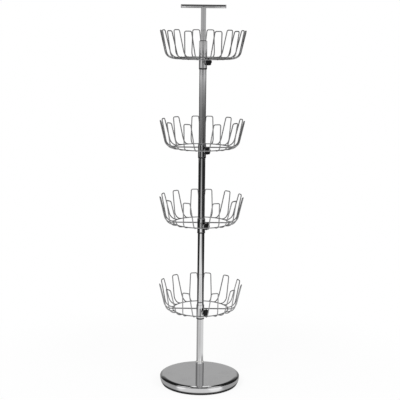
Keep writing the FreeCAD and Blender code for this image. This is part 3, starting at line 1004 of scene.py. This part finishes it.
@dataclass
class Pole:
    """The turning pole: four tubes end to end, the ferrule, and the T handle above it."""

    radius: float = 11.0
    wall: float = 1.2
    ends: tuple[float, ...] = (40.5, 241.0, 526.0, 768.0, 1104.5)
    joint_gap: float = 0.02
    joint_edge: float = 0.3
    fit: float = 0.05
    ferrule: float = 12.7
    ferrule_low: float = 1067.5
    ferrule_top: float = 1107.5
    ferrule_edges: tuple[float, float] = (0.2, 0.8)
    mouth_gap: float = 0.1
    mouth_deep: float = 2.95
    reducer: float = 9.8
    reducer_gap: float = 0.06
    reducer_long: float = 24.0
    reducer_low: float = 0.02
    reducer_top: float = 1109.1
    reducer_edges: tuple[float, float, float, float] = (0.2, 0.3, 0.1, 0.5)
    riser: float = 8.0
    riser_low: float = 1062.5
    riser_edge: float = 0.2
    riser_meets: float = 0.8
    riser_enters: float = 3.2
    bar: float = 5.5
    bar_height: float = 1212.5
    bar_half: float = 67.5
    cap_core: float = 0.4
    cap_edge: tuple[Edge, ...] = ((0.5, 0.02), (0.06, 0.08), (0.0, 0.25))
    cap_rim: float = 1.0
    cap_dome: float = 2.5
    cap_face: float = 3.85
    cap_flat: float = 0.93

    def cap(self) -> Surface:
        """An end cap of the bar along +Z: a thin rim, then a dome to a small face.

        At share s of its height the dome's radius is face + (bar - face) sqrt(1 - s^2).

        Returns:
            The cap, closed at both ends.
        """
        bar = self.bar
        edge = [(bar - inwards, high) for inwards, high in self.cap_edge]
        rim = [(self.cap_core, edge[0][1]), *edge, (bar, self.cap_rim)]
        share = np.linspace(0.0, 1.0, 10)[1:]
        radius = self.cap_face + (bar - self.cap_face) * np.sqrt(1 - share**2)
        height = self.cap_rim + (self.cap_dome - self.cap_rim) * share
        dome = np.stack([radius, height], axis=-1)
        face = [(self.cap_face * self.cap_flat, self.cap_dome), (self.cap_core, self.cap_dome)]
        return lathe(np.vstack([rim, dome, face]), False, 48)

    def sleeve(self) -> Surface:
        """The ferrule: a sleeve with a narrower mouth.

        Returns:
            Its wall, closed.
        """
        inner, outer = self.ferrule_edges
        mouth, step = self.reducer + self.mouth_gap, self.ferrule_top - self.mouth_deep
        corners = [
            (self.radius + self.fit, self.ferrule_low, inner),
            (self.ferrule, self.ferrule_low, outer),
            (self.ferrule, self.ferrule_top, outer),
            (mouth, self.ferrule_top, inner),
            (mouth, step, 0.0),
            (self.radius + self.fit, step, 0.0),
        ]
        return lathe(outline(corners, True, 5), True, 128)

    def bush(self) -> Surface:
        """The bush between the top tube and the handle's stem, with a rim in the ferrule's mouth.

        Returns:
            Its wall, closed.
        """
        end, foot, under, rim = self.reducer_edges
        low, outer = self.ferrule_top - self.reducer_long, self.radius - self.wall - self.fit
        corners = [
            (self.riser + self.reducer_gap, low, end),
            (outer, low, foot),
            (outer, self.ferrule_top, 0.0),
            (self.reducer, self.ferrule_top + self.reducer_low, under),
            (self.reducer, self.reducer_top, rim),
            (self.riser + self.reducer_gap, self.reducer_top, end),
        ]
        return lathe(outline(corners, True, 4), True, 96)

    def stem(self) -> Surface:
        """The handle's stem, up into the bar.

        Returns:
            A tube that ends just inside the bar's lower side.
        """
        drop = math.sqrt(self.bar**2 - self.riser_meets**2)
        high = self.bar_height - drop + self.riser_enters
        return pipe(self.riser, self.riser - self.wall, self.riser_low, high, self.riser_edge)

    def build(self, shop: Workshop) -> None:
        """Makes and dresses the pole's pieces.

        Args:
            shop: where they are made.
        """
        gap, edge, bore = self.joint_gap, self.joint_edge, self.radius - self.wall
        for name, low, high in zip(TIERS, self.ends, self.ends[1:]):
            tube = pipe(self.radius, bore, low + gap, high - gap, edge)
            shop.piece(f"{name}_tube_skin", [tube], Slot.TUBE, "pole", f"{name}_pole_tube")
        shop.piece("ferrule_sleeve", [self.sleeve()], Slot.TUBE, "pole", "top_ferrule")
        shop.piece("ferrule_bush", [self.bush()], Slot.PLASTIC, "pole", "reducer_bush")
        shop.piece("handle_stem", [self.stem()], Slot.TUBE, "pole", "handle_riser")
        grip = pipe(self.bar, self.bar - self.wall, -self.bar_half, self.bar_half, edge, 64)
        along = grip.placed((0, 0, self.bar_height), (1, 0, 0), DOWN)
        shop.piece("handle_grip", [along], Slot.TUBE, "pole", "handle_bar")
        caps = [
            self.cap().placed((way * self.bar_half, 0, self.bar_height), (way, 0, 0), (0, 0, -way))
            for way in (-1.0, 1.0)
        ]
        shop.piece("grip_caps", caps, Slot.TUBE, "pole", "handle_bar_caps")
        shop.dress("pole_foot_plug", Slot.NYLON)
        shop.dress("tube_couplers", Slot.ZINC)


@dataclass
class Basket:
    """One wire basket: hub, stop ring, ring, spokes, twelve shoe loops and its clamp knob."""

    name: str
    height: float
    hub: float = 12.7
    hub_bore: float = 11.08
    hub_below: float = 30.0
    hub_above: float = 13.0
    hub_edge: float = 0.5
    stop_tall: float = 4.0
    stop_gap: float = 0.03
    wire: float = 1.7
    spoke: float = 2.0
    ring: float = 89.0
    loop_knee: float = 113.0
    loop_reach: float = 132.3
    loop_tall: float = 85.0
    foot_half: float = 17.5
    top_half: float = 11.0
    knee_tangent: float = 19.95
    corner_tangent: float = 5.0
    bend_runs: int = 12
    wire_sides: int = 14
    square_to: tuple[float, float, float] = (0.6, 0.0, -0.8)
    loops_a_side: int = 6
    loop_first: float = 10.0
    loop_step: float = 30.0
    bead: float = 0.75
    bead_long: float = 1.3
    weld_in: float = 0.5
    weld_out: float = 3.6
    weld_rings: int = 9
    weld_level: float = 0.3
    spoke_in: tuple[float, float] = (0.4, 1.0)
    spoke_out: float = 3.2
    spoke_rings: tuple[float, float] = (30.0, 60.0)
    spoke_sides: int = 16
    clamp_angle: float = -40.0
    clamp_below: float = 10.0
    boss: float = 6.0
    boss_in: float = 1.2
    boss_end: float = 15.7
    boss_edge: float = 0.35
    knob_start: float = 16.2
    knob: float = 11.5
    knob_thick: float = 11.0
    knob_edge: float = 1.5
    neck: float = 6.5
    neck_long: float = 3.0
    neck_edges: tuple[float, float] = (0.3, 0.6)
    core: float = 0.6
    dish: tuple[float, float] = (4.6, 5.2)
    dish_edges: tuple[float, float] = (1.2, 0.2)
    dish_deep: float = 0.5
    flutes: int = 6
    flute_deep: float = 1.8
    flute: float = 4.0
    flute_soft: float = 0.5
    stud: float = 3.0
    stud_in: float = 3.0
    stud_taper: float = 0.8
    stud_tip: float = 0.5
    pitch: float = 1.0
    thread: float = 0.45

    def loop(self) -> Surface:
        """One shoe loop at angle zero: foot, knee, leg, top, and the same back to the ring.

        Returns:
            A wire whose radius swells by bead exp(-(d / bead_long)^2) at each weld, d being the
            distance from the ring's wire.
        """
        half = math.asin(self.foot_half / self.loop_knee)
        ways = np.array([[math.cos(half), way * math.sin(half), 0.0] for way in (-1, 1)])
        foot, knee = ways * (self.ring + self.weld_in), ways * self.loop_knee
        reach, wide, tall = self.loop_reach, self.top_half, self.loop_tall
        top = np.array([[reach, way * wide, tall] for way in (-1, 1)])
        welded = np.linspace(self.weld_in, self.weld_out, self.weld_rings)
        start = ways * (self.ring + welded[:, None, None])
        spots = [foot[0], knee[0], top[0], top[1], knee[1], foot[1]]
        tangents = [self.knee_tangent, self.corner_tangent, self.corner_tangent, self.knee_tangent]
        bends = [
            bend(*spots[corner : corner + 3], tangent, self.bend_runs)
            for corner, tangent in enumerate(tangents)
        ]
        path = np.vstack([start[:, 0], *bends, start[::-1, 1]])
        away = np.hypot(path[:, 0], path[:, 1]) - (self.ring + self.wire)
        level = np.abs(path[:, 2]) < self.weld_level
        swell = np.where(level, self.bead * np.exp(-((away / self.bead_long) ** 2)), 0.0)
        return rod(path, self.wire + swell, self.square_to, self.wire_sides)

    def loop_angles(self) -> Array:
        """Where the loops stand, in degrees from +X: two mirrored rows from the back."""
        away = self.loop_first + self.loop_step * np.arange(self.loops_a_side)
        return np.concatenate([90.0 + away, 90.0 - away])

    def spoke_wire(self) -> Surface:
        """One spoke along +X, from the hub to the ring.

        Returns:
            A wire that swells by bead exp(-(d / bead_long)^2) at each end, d being the distance
            from the hub's skin or from the ring's wire.
        """
        inner, outer = self.hub, self.ring - self.wire
        reach = np.concatenate(
            [
                np.linspace(inner - self.spoke_in[0], inner + self.spoke_out, self.weld_rings),
                self.spoke_rings,
                np.linspace(outer - self.spoke_out, self.ring - self.spoke_in[1], self.weld_rings),
            ]
        )
        hub_bead = np.exp(-(((reach - inner) / self.bead_long) ** 2))
        ring_bead = np.exp(-(((reach - outer) / self.bead_long) ** 2))
        path = np.stack([reach, np.zeros_like(reach), np.zeros_like(reach)], axis=-1)
        radii = self.spoke + self.bead * (hub_bead + ring_bead)
        return rod(path, radii, UP, self.spoke_sides)

    def ring_wire(self) -> Surface:
        """The ring: point (t, s) is ((R + w cos s) cos t, (R + w cos s) sin t, w sin s).

        Returns:
            The ring, closed on itself.
        """
        turn = turns(self.wire_sides)
        circle = [self.ring + self.wire * np.cos(turn), self.wire * np.sin(turn)]
        return lathe(np.stack(circle, axis=-1), True, 256)

    def knob_grip(self) -> Surface:
        """The fluted knob along +Z.

        The profile gives a radius and a height for each row. Each of the flutes takes away a
        round hollow: with x the distance along the rim from the flute's middle, the rim drops
        by flute_deep (1 - (x / w)^2)^1.5 inside the half width w, times the share of the row's
        radius that lies outside the neck, to the power 0.8.

        Returns:
            The grip, closed at its face.
        """
        tall, neck, columns = self.knob_thick, self.neck, 180
        floor = tall - self.dish_deep
        profile = outline(
            [
                (self.core, 0.0, 0.0),
                (neck, 0.0, self.neck_edges[0]),
                (neck, self.neck_long, self.neck_edges[1]),
                (self.knob, self.neck_long, self.knob_edge),
                (self.knob, tall, self.knob_edge),
                (self.knob - self.dish[0], tall, self.dish_edges[0]),
                (self.knob - self.dish[1], floor, self.dish_edges[1]),
                (self.core, floor, 0.0),
            ],
            False,
            7,
        )
        step = 2 * math.pi / self.flutes
        off = (np.mod(turns(columns) + step / 2, step) - step / 2) * self.knob
        chord = math.sqrt(self.flute**2 - (self.flute - self.flute_deep) ** 2)
        half = chord + self.flute_soft
        hollow = np.where(np.abs(off) < half, np.clip(1 - (off / half) ** 2, 0, 1) ** 1.5, 0.0)
        share = np.clip((profile[:, :1] - neck) / (self.knob - neck), 0.0, 1.0) ** 0.8
        share = share * (profile[:, 1:] > self.neck_long * 0.5)
        radius = profile[:, :1] - self.flute_deep * hollow[None, :] * share
        return skin(rings_round(radius, profile[:, 1:], columns), False)

    def screw(self) -> Surface:
        """The knob's screw along +Z: its radius is r - d (1 + cos(2 pi z / pitch - t)) / 2.

        Returns:
            The screw, its two ends tapered.
        """
        columns = 40
        low, high = self.hub_bore, self.knob_start + self.knob_thick - self.stud_in
        height = np.arange(low, high, self.pitch / 8)
        phase = 2 * math.pi * height[:, None] / self.pitch - turns(columns)[None, :]
        taper = np.clip(np.minimum(height - low, high - height) / self.stud_taper, 0.0, 1.0)
        core = self.stud - self.stud_tip * (1 - taper[:, None])
        radius = core - self.thread * (1 + np.cos(phase)) / 2
        return skin(rings_round(radius, height[:, None], columns), False)

    def boss_block(self) -> Surface:
        """The threaded boss that the screw goes through, along +Z.

        Returns:
            A round block with a rounded end.
        """
        start, end = self.hub - self.boss_in, self.boss_end
        corners = [
            (self.core, start, 0.0),
            (self.boss, start, 0.0),
            (self.boss, end, self.boss_edge),
            (self.core, end, 0.0),
        ]
        return lathe(outline(corners, False, 5), False, 64)

    def on_clamp(self, part: Surface, out: float) -> Surface:
        """Sets a part made along +Z on the clamp's axis.

        Args:
            part: the part.
            out: how far from the pole's axis it starts.

        Returns:
            The part in its place.
        """
        angle = math.radians(self.clamp_angle)
        way = (math.cos(angle), math.sin(angle), 0.0)
        origin = (way[0] * out, way[1] * out, self.height - self.clamp_below)
        return part.placed(origin, way, DOWN)

    def build(self, shop: Workshop) -> None:
        """Makes the basket's pieces.

        Args:
            shop: where they are made.
        """
        name, height, edge = self.name, self.height, self.hub_edge
        stop, carried, clamp = f"{name}_stop", f"{name}_basket", f"{name}_clamp"
        low = height - self.hub_below
        sleeve = pipe(self.hub, self.hub_bore, low, height + self.hub_above, edge, 128)
        shop.piece(f"{name}_hub_sleeve", [sleeve], Slot.TUBE, carried, f"{name}_hub")
        collar = pipe(self.hub, self.hub_bore, low - self.stop_tall, low - self.stop_gap, edge)
        shop.piece(f"{name}_stop_collar", [collar], Slot.PLASTIC, stop, f"{name}_stop_ring")
        ring = self.ring_wire().raised(height)
        shop.piece(f"{name}_ring_wire", [ring], Slot.WIRE, carried, f"{name}_wire_ring")
        quarters = (0.0, 90.0, 180.0, 270.0)
        spokes = [self.spoke_wire().turned(angle).raised(height) for angle in quarters]
        shop.piece(f"{name}_spoke_wires", spokes, Slot.WIRE, carried, f"{name}_spokes")
        loops = [self.loop().turned(angle).raised(height) for angle in self.loop_angles()]
        shop.piece(f"{name}_shoe_loops", loops, Slot.WIRE, carried, f"{name}_loops")
        boss = self.on_clamp(self.boss_block(), 0.0)
        shop.piece(f"{name}_boss", [boss], Slot.TUBE, carried, f"{name}_clamp_boss")
        grip = self.on_clamp(self.knob_grip(), self.knob_start)
        shop.piece(f"{name}_grip", [grip], Slot.PLASTIC, clamp, f"{name}_knob")
        screw = self.on_clamp(self.screw(), 0.0)
        shop.piece(f"{name}_screw", [screw], Slot.ZINC, clamp, f"{name}_knob_stud")


# ---- studio --------------------------------------------------------------------------------


@dataclass(frozen=True)
class Lamp:
    """A soft square lamp that points at the tower and that no mirror shows."""

    name: str
    place: tuple[float, float, float]
    target: tuple[float, float, float]
    across: float
    power: float

    def build(self) -> None:
        """Hangs the lamp."""
        light = bpy.data.lights.new(self.name, "AREA")
        light.shape = "SQUARE"
        light.size = self.across
        light.energy = self.power
        made = bpy.data.objects.new(self.name, light)
        bpy.context.scene.collection.objects.link(made)
        way = Vector(self.target) - Vector(self.place)
        turn = way.to_track_quat("-Z", "Y").to_matrix().to_4x4()
        made.matrix_world = Matrix.Translation(self.place) @ turn
        made.visible_glossy = False
        made.visible_camera = False


@dataclass(frozen=True)
class Spot:
    """A place on the floor: |x|, its distance, and its bearing's sine and cosine."""

    across: Value
    away: Value
    aside: Value
    front: Value


@dataclass(frozen=True)
class PaintedFloorTones:
    """The painted reflection that the floor glows with for mirrors only, with painted light and
    shade: grey round the base, then a painted roll of lit paper on the dark.

    A tone depends on the distance from the tower and on the bearing, whose sine is aside and
    whose cosine is front. An Edge is a pair of values between which a soft step runs.
    """

    by_base: Edge = (0.24, 0.30)
    from_back: Edge = (-0.2, 0.1)
    from_left: Edge = (-0.1, 0.1)
    lit_near: Edge = (1.03, 1.15)
    lit_far: Edge = (-1.02, -0.7)
    lit_right: Edge = (0.0, 0.7)
    grey: float = 0.38
    lit: float = 0.34
    lit_more: float = 0.05
    roll_left: tuple[float, float, float] = (-1.11, 0.24, -0.45)
    roll_left_edge: Edge = (-0.2, 0.2)
    roll_right: tuple[float, float, float] = (1.13, 0.28, 0.26)
    roll_right_edge: Edge = (-0.14, 0.14)
    roll_front: Edge = (-0.1, 0.1)
    roll_start: Edge = (0.72, 0.90)
    patch_behind: Edge = (0.75, 0.9)
    patch_tone: float = 0.6
    paper: float = 0.94
    far_paper: Edge = (1.3, 1.9)
    far_right: Edge = (-0.2, 0.3)
    far_more: tuple[float, float] = (0.30, 0.66)
    first_fade: Edge = (2.3, 2.7)
    last_fade: Edge = (3.0, 5.0)
    fades: tuple[float, float] = (0.48, 0.2)
    gleam_right: tuple[Edge, Edge] = ((0.26, 0.38), (0.62, 0.72))
    gleam_left: tuple[Edge, Edge] = ((0.42, 0.54), (0.62, 0.72))
    gleam_far: Edge = (0.150, 0.175)
    gleam_front: Edge = (0.3, 0.45)
    gleam_end: Edge = (0.235, 0.25)
    gleam_tones: tuple[float, float, float] = (0.6, 0.14, 0.04)
    shade: Edge = (0.1285, 0.1365)
    strip: Edge = (0.05, 0.09)
    strip_start: Edge = (0.25, 0.5)
    strip_share: float = 0.5
    under_base: float = 0.02
    least: float = 0.02

    def round_base(self, spot: Spot) -> Value:
        """The grey floor round the base, with painted light and shade: lighter in the lit zones and
        a little lighter to the right, darker to the back left where little light falls.

        Args:
            spot: where it is read.

        Returns:
            Its tone.
        """
        by_base = spot.away.below(self.by_base)
        back_left = spot.front.below(self.from_back) * spot.aside.below(self.from_left)
        near = (spot.front + spot.away * 2.0).above(self.lit_near)
        far = spot.aside.above(self.lit_far) * (1.0 - back_left)
        # painted light: the glow is lighter where light would fall on the floor and darker at the
        # back left
        lit = near * by_base + far * (1.0 - by_base)
        return lit * self.lit + lit * spot.aside.above(self.lit_right) * self.lit_more + self.grey

    def roll(self, spot: Spot) -> Value:
        """A painted reflection of a lit roll of paper to the front, and a dimmer painted patch
        behind.

        Each side is (start, slope, limit): its bearing at the tower, how fast that closes in with
        the distance, and where it stops. Far out the paper is lighter at the left and darker at
        the right, and then it fades.

        Args:
            spot: where it is read.

        Returns:
            Its tone.
        """
        start, slope, limit = self.roll_left
        left_side = (spot.away * slope + start).math("MINIMUM", limit)
        left = (spot.aside - left_side).above(self.roll_left_edge)
        start, slope, limit = self.roll_right
        right_side = (start - spot.away * slope).math("MAXIMUM", limit)
        right = (right_side - spot.aside).above(self.roll_right_edge)
        # painted reflection: a bright glow where a lit paper roll would be mirrored
        shape = left * right * spot.front.above(self.roll_front)
        shape = shape + (-spot.front).above(self.patch_behind) * self.patch_tone
        more, less = self.far_more
        far = spot.away.above(self.far_paper) * (more - spot.aside.above(self.far_right) * less)
        first, last = self.fades
        fade = 1.0 - spot.away.above(self.first_fade) * first
        fade = fade - spot.away.above(self.last_fade) * last
        return shape * (far + self.paper) * fade

    def painted_gleams(self, spot: Spot) -> Value:
        """Two painted highlights: light patches close in front of the base, one on each side.

        Args:
            spot: where they are read.

        Returns:
            What they add.
        """
        far, right, left = self.gleam_tones
        beyond = spot.away.above(self.gleam_far) * far
        both = spot.aside.within(*self.gleam_right) * (beyond + right)
        both = both + (-spot.aside).within(*self.gleam_left) * (beyond + left)
        # painted highlights, shown only in mirrors such as the base's side
        return both * spot.front.above(self.gleam_front) * spot.away.below(self.gleam_end)

    def tone(self, shader: Shader) -> Value:
        """The whole painted floor reflection, with a painted shadow under the base, and dimmer in a
        strip before and behind it.

        Args:
            shader: the floor's tree.

        Returns:
            The tone at each place.
        """
        place = shader.object_place()
        across, back, _ = shader.axes(place)
        away = shader.length(place)
        spot = Spot(across.math("ABSOLUTE"), away, across / away, -back / away)
        near = away.below(self.roll_start)
        tone = self.round_base(spot) * near + self.roll(spot) * (1.0 - near)
        # painted shadow: the glow goes dark under the base's overhang
        shade = away.above(self.shade) * (1.0 - self.under_base) + self.under_base
        strip = spot.across.below(self.strip) * away.above(self.strip_start)
        dimmed = (tone + self.painted_gleams(spot)) * shade * (1.0 - strip * self.strip_share)
        return dimmed + self.least


@dataclass(frozen=True)
class Way:
    """A direction that a mirror looks in: how far aside, back, up, to either side and down."""

    aside: Value
    depth: Value
    height: Value
    flank: Value
    down: Value


@dataclass(frozen=True)
class RoomTones:
    """What a mirror sees beyond the floor.

    Above the level there is a grey room with two dark corners. High up behind it is dark, but
    for a card and a pair of narrow lamps, and so is a narrow strip over the handle. Below the
    level is the room's foot, lighter at both sides and darker far down and towards the back.
    """

    wall: float = 0.43
    corner_beside: Edge = (0.12, 0.25)
    corner_high: Edge = (0.05, 0.15)
    corner_left: tuple[Edge, float] = ((-0.45, -0.25), 0.55)
    corner_right: tuple[Edge, float] = ((0.0, 0.3), 0.8)
    dark_flank: Edge = (0.34, 0.46)
    dark_depth: Edge = (0.0, 0.2)
    dark_steps: tuple[tuple[Edge, float], ...] = (((0.36, 0.40), 0.7), ((0.42, 0.47), 0.3))
    strip: Edge = (0.04, 0.07)
    strip_share: float = 0.8
    strip_front: tuple[Edge, float] = ((0.0, 0.3), 0.4)
    card_high: tuple[Edge, Edge] = ((0.405, 0.43), (0.62, 0.70))
    card_depth: Edge = (0.3, 0.5)
    card_foot: float = 0.35
    card_left: tuple[float, Edge] = (0.15, (-0.004, 0.004))
    card_right: tuple[float, Edge] = (0.18, (-0.004, 0.02))
    pair_high: Edge = (0.70, 0.74)
    pair_flank: tuple[Edge, Edge] = ((0.07, 0.10), (0.19, 0.23))
    pair_depth: Edge = (0.35, 0.5)
    light: float = 0.9
    foot_down: tuple[Edge, Edge] = ((0.026, 0.036), (0.058, 0.075))
    foot_flank: Edge = (0.4, 0.75)
    foot_light: float = 0.22
    deep: tuple[Edge, float] = ((0.058, 0.10), 0.22)
    deep_right: tuple[Edge, Edge, float] = ((0.06, 0.10), (-0.3, 0.6), 0.1)
    band_down: tuple[Edge, Edge] = ((0.036, 0.041), (0.0555, 0.0575))
    band_flank: tuple[Edge, float] = ((0.88, 0.97), 0.75)
    back_depth: Edge = (0.1, 0.4)
    back_down: Edge = (0.03, 0.045)
    back_share: float = 0.85
    spot_flank: Edge = (0.3, 0.45)
    spot_front: Edge = (0.0, 0.2)
    spot_share: float = 0.93
    least: float = 0.015

    def dim_wall(self, way: Way) -> Value:
        """The grey room with its corners, the dark high up behind and the strip.

        Args:
            way: the direction.

        Returns:
            Its tone.
        """
        left_edge, left_share = self.corner_left
        right_edge, right_share = self.corner_right
        left = way.depth.above(left_edge) * (-way.aside).above(self.corner_beside) * left_share
        right = way.depth.above(right_edge) * way.aside.above(self.corner_beside) * right_share
        corners = (left + right) * way.height.above(self.corner_high)
        strip = way.flank.below(self.strip)
        (low, low_share), (high, high_share) = self.dark_steps
        dark = way.height.above(low) * low_share + way.height.above(high) * high_share
        behind = way.depth.above(self.dark_depth) * (way.flank.below(self.dark_flank) - strip)
        dark = dark * (behind + strip * self.strip_share)
        front, share = self.strip_front
        over = 1.0 - strip * (-way.depth).above(front) * share
        return (1.0 - corners) * (1.0 - dark) * over * self.wall

    def lights(self, way: Way) -> Value:
        """The card, which widens upwards, and the pair of narrow lamps above it.

        Args:
            way: the direction.

        Returns:
            What they add.
        """
        wedge = way.height - self.card_foot
        left_slope, left_edge = self.card_left
        right_slope, right_edge = self.card_right
        card = way.height.within(*self.card_high) * way.depth.above(self.card_depth)
        card = card * (-way.aside - wedge * left_slope).below(left_edge)
        card = card * (way.aside - wedge * right_slope).below(right_edge)
        pair = way.height.above(self.pair_high) * way.flank.within(*self.pair_flank)
        return (card + pair * way.depth.above(self.pair_depth)) * self.light

    def foot(self, way: Way) -> Value:
        """The room's foot: light at both sides, and less light far down.

        Args:
            way: the direction.

        Returns:
            What it adds.
        """
        sides = way.down.within(*self.foot_down) * way.flank.above(self.foot_flank)
        deep, share = self.deep
        down, right, right_share = self.deep_right
        less = way.down.above(deep) * share
        less = less + way.down.above(down) * way.aside.above(right) * right_share
        return sides * self.foot_light - less

    def tone(self, shader: Shader) -> Value:
        """The whole room, with the dark marks that the hubs mirror below the level.

        Args:
            shader: the world's tree.

        Returns:
            The tone in each direction.
        """
        seen = shader.out(shader.add("ShaderNodeTexCoord"), "Generated")
        aside, depth, height = shader.axes(seen)
        way = Way(aside, depth, height, aside.math("ABSOLUTE"), -height)
        room = self.dim_wall(way) + self.lights(way) + self.foot(way)
        band = way.down.within(*self.band_down)
        flank, share = self.band_flank
        room = room * (1.0 - band * way.flank.above(flank) * share)
        back = depth.above(self.back_depth) * way.down.above(self.back_down)
        room = room * (1.0 - back * self.back_share)
        spot = band * way.flank.below(self.spot_flank) * (-depth).above(self.spot_front)
        return room * (1.0 - spot * self.spot_share) + self.least


@dataclass
class Studio:
    """Pale floor that glows with a painted reflection for mirrors, white surroundings, soft lamps,
    what the chrome mirrors, and the camera.
    """

    floor_front: float = -6.0
    floor_back: float = 4.0
    floor_side: float = 5.0
    floor_tone: float = 0.80
    floor_seen: float = 0.98
    floor_drift: float = 0.02
    kept_shadow: float = 0.14
    shadow_edge: Edge = (0.45, 0.99)
    soft: float = 0.66
    painted_floor_tones: PaintedFloorTones = PaintedFloorTones()
    room_tones: RoomTones = RoomTones()
    lamps: tuple[Lamp, ...] = (
        Lamp("key", (-1.5, -2.2, 2.6), (0.0, 0.0, 0.5), 1.4, 42.0),
        Lamp("fill", (2.0, -1.6, 1.8), (0.0, 0.0, 0.6), 1.4, 16.0),
    )
    camera: tuple[float, float, float] = (0.0, -3.2, 1.2)
    pitch: float = -10.5
    yaw: float = 0.084
    roll: float = 0.62
    focal: float = 92.07
    sensor: float = 36.0

    def floor_finish(self) -> bpy.types.Material:
        """The floor's material.

        The camera sees white with a faint shadow, a mirror sees the floor glow with painted light
        and shade, a painted reflection, and all other light meets a pale matt sheet.

        Returns:
            The material.
        """
        finish = bpy.data.materials.new("pale_floor")
        shader = Shader(finish)
        seen, mirrored = shader.rays()
        place = shader.object_place()
        level = self.floor_tone - self.floor_drift / 2
        drift = shader.noise(place, 3.0) * self.floor_drift + level
        pale = drift + seen * (self.floor_seen - self.floor_tone)
        matt = shader.add("ShaderNodeBsdfDiffuse", {}, {"Color": shader.mixed(pale, BLACK, WHITE)})
        # painted reflection: mirror rays see the floor glow in the painted tones
        tone = seen + (1.0 - seen) * self.painted_floor_tones.tone(shader)
        shown = {"Color": shader.mixed(tone, BLACK, WHITE), "Strength": 1.0}
        painted_glow = shader.add("ShaderNodeEmission", {}, shown)
        kept = shader.length(place).below(self.shadow_edge)
        joined = {
            "Fac": seen * (1.0 - kept * self.kept_shadow) + mirrored,
            "Shader": shader.out(matt, "BSDF"),
            "Shader_001": shader.out(painted_glow, "Emission"),
        }
        mix = shader.add("ShaderNodeMixShader", {}, joined)
        shader.finish("ShaderNodeOutputMaterial", shader.out(mix, "Shader"))
        return finish

    def floor(self) -> None:
        """Lays the floor."""
        mesh = bpy.data.meshes.new("floor")
        left, right = -self.floor_side, self.floor_side
        front, back = self.floor_front, self.floor_back
        corners = [(left, front, 0), (right, front, 0), (right, back, 0), (left, back, 0)]
        mesh.from_pydata(corners, [], [(0, 1, 2, 3)])
        made = bpy.data.objects.new("floor", mesh)
        bpy.context.scene.collection.objects.link(made)
        mesh.materials.append(self.floor_finish())

    def surroundings(self) -> None:
        """Sets the world: white to the eye, a plain soft light, and a room in the mirrors."""
        world = bpy.data.worlds.new("studio")
        bpy.context.scene.world = world
        shader = Shader(world)
        seen, mirrored = shader.rays()
        shown = shader.mixed(self.room_tones.tone(shader), BLACK, WHITE)
        plain = shader.mixed(mirrored, opaque((self.soft,) * 3), shown)
        sky = {"Color": shader.mixed(seen, plain, WHITE), "Strength": 1.0}
        ground = shader.add("ShaderNodeBackground", {}, sky)
        shader.finish("ShaderNodeOutputWorld", shader.out(ground, "Background"))

    def view(self) -> None:
        """Sets up the camera in front of the tower."""
        data = bpy.data.cameras.new("camera")
        data.lens = self.focal
        data.sensor_width = self.sensor
        made = bpy.data.objects.new("camera", data)
        bpy.context.scene.collection.objects.link(made)
        place = Matrix.Translation(self.camera)
        for degrees, axis in ((self.yaw, "Z"), (90.0 + self.pitch, "X"), (self.roll, "Z")):
            place = place @ Matrix.Rotation(math.radians(degrees), 4, axis)
        made.matrix_world = place
        bpy.context.scene.camera = made

    def build(self) -> None:
        """Builds the whole studio."""
        self.floor()
        self.surroundings()
        for lamp in self.lamps:
            lamp.build()
        self.view()
        bpy.context.scene.view_settings.view_transform = "Standard"
        LOG.info("studio ready")


def main() -> None:
    """Builds the base, the pole, the four baskets and the studio, in that order."""
    logging.basicConfig(level=logging.INFO, format="%(message)s")
    shop = Workshop()
    Base().build(shop)
    Pole().build(shop)
    for name, height in TIERS.items():
        Basket(name, height).build(shop)
    Studio().build()
    LOG.info("%d pieces made", shop.made)


if __name__ == "__main__":
    main()
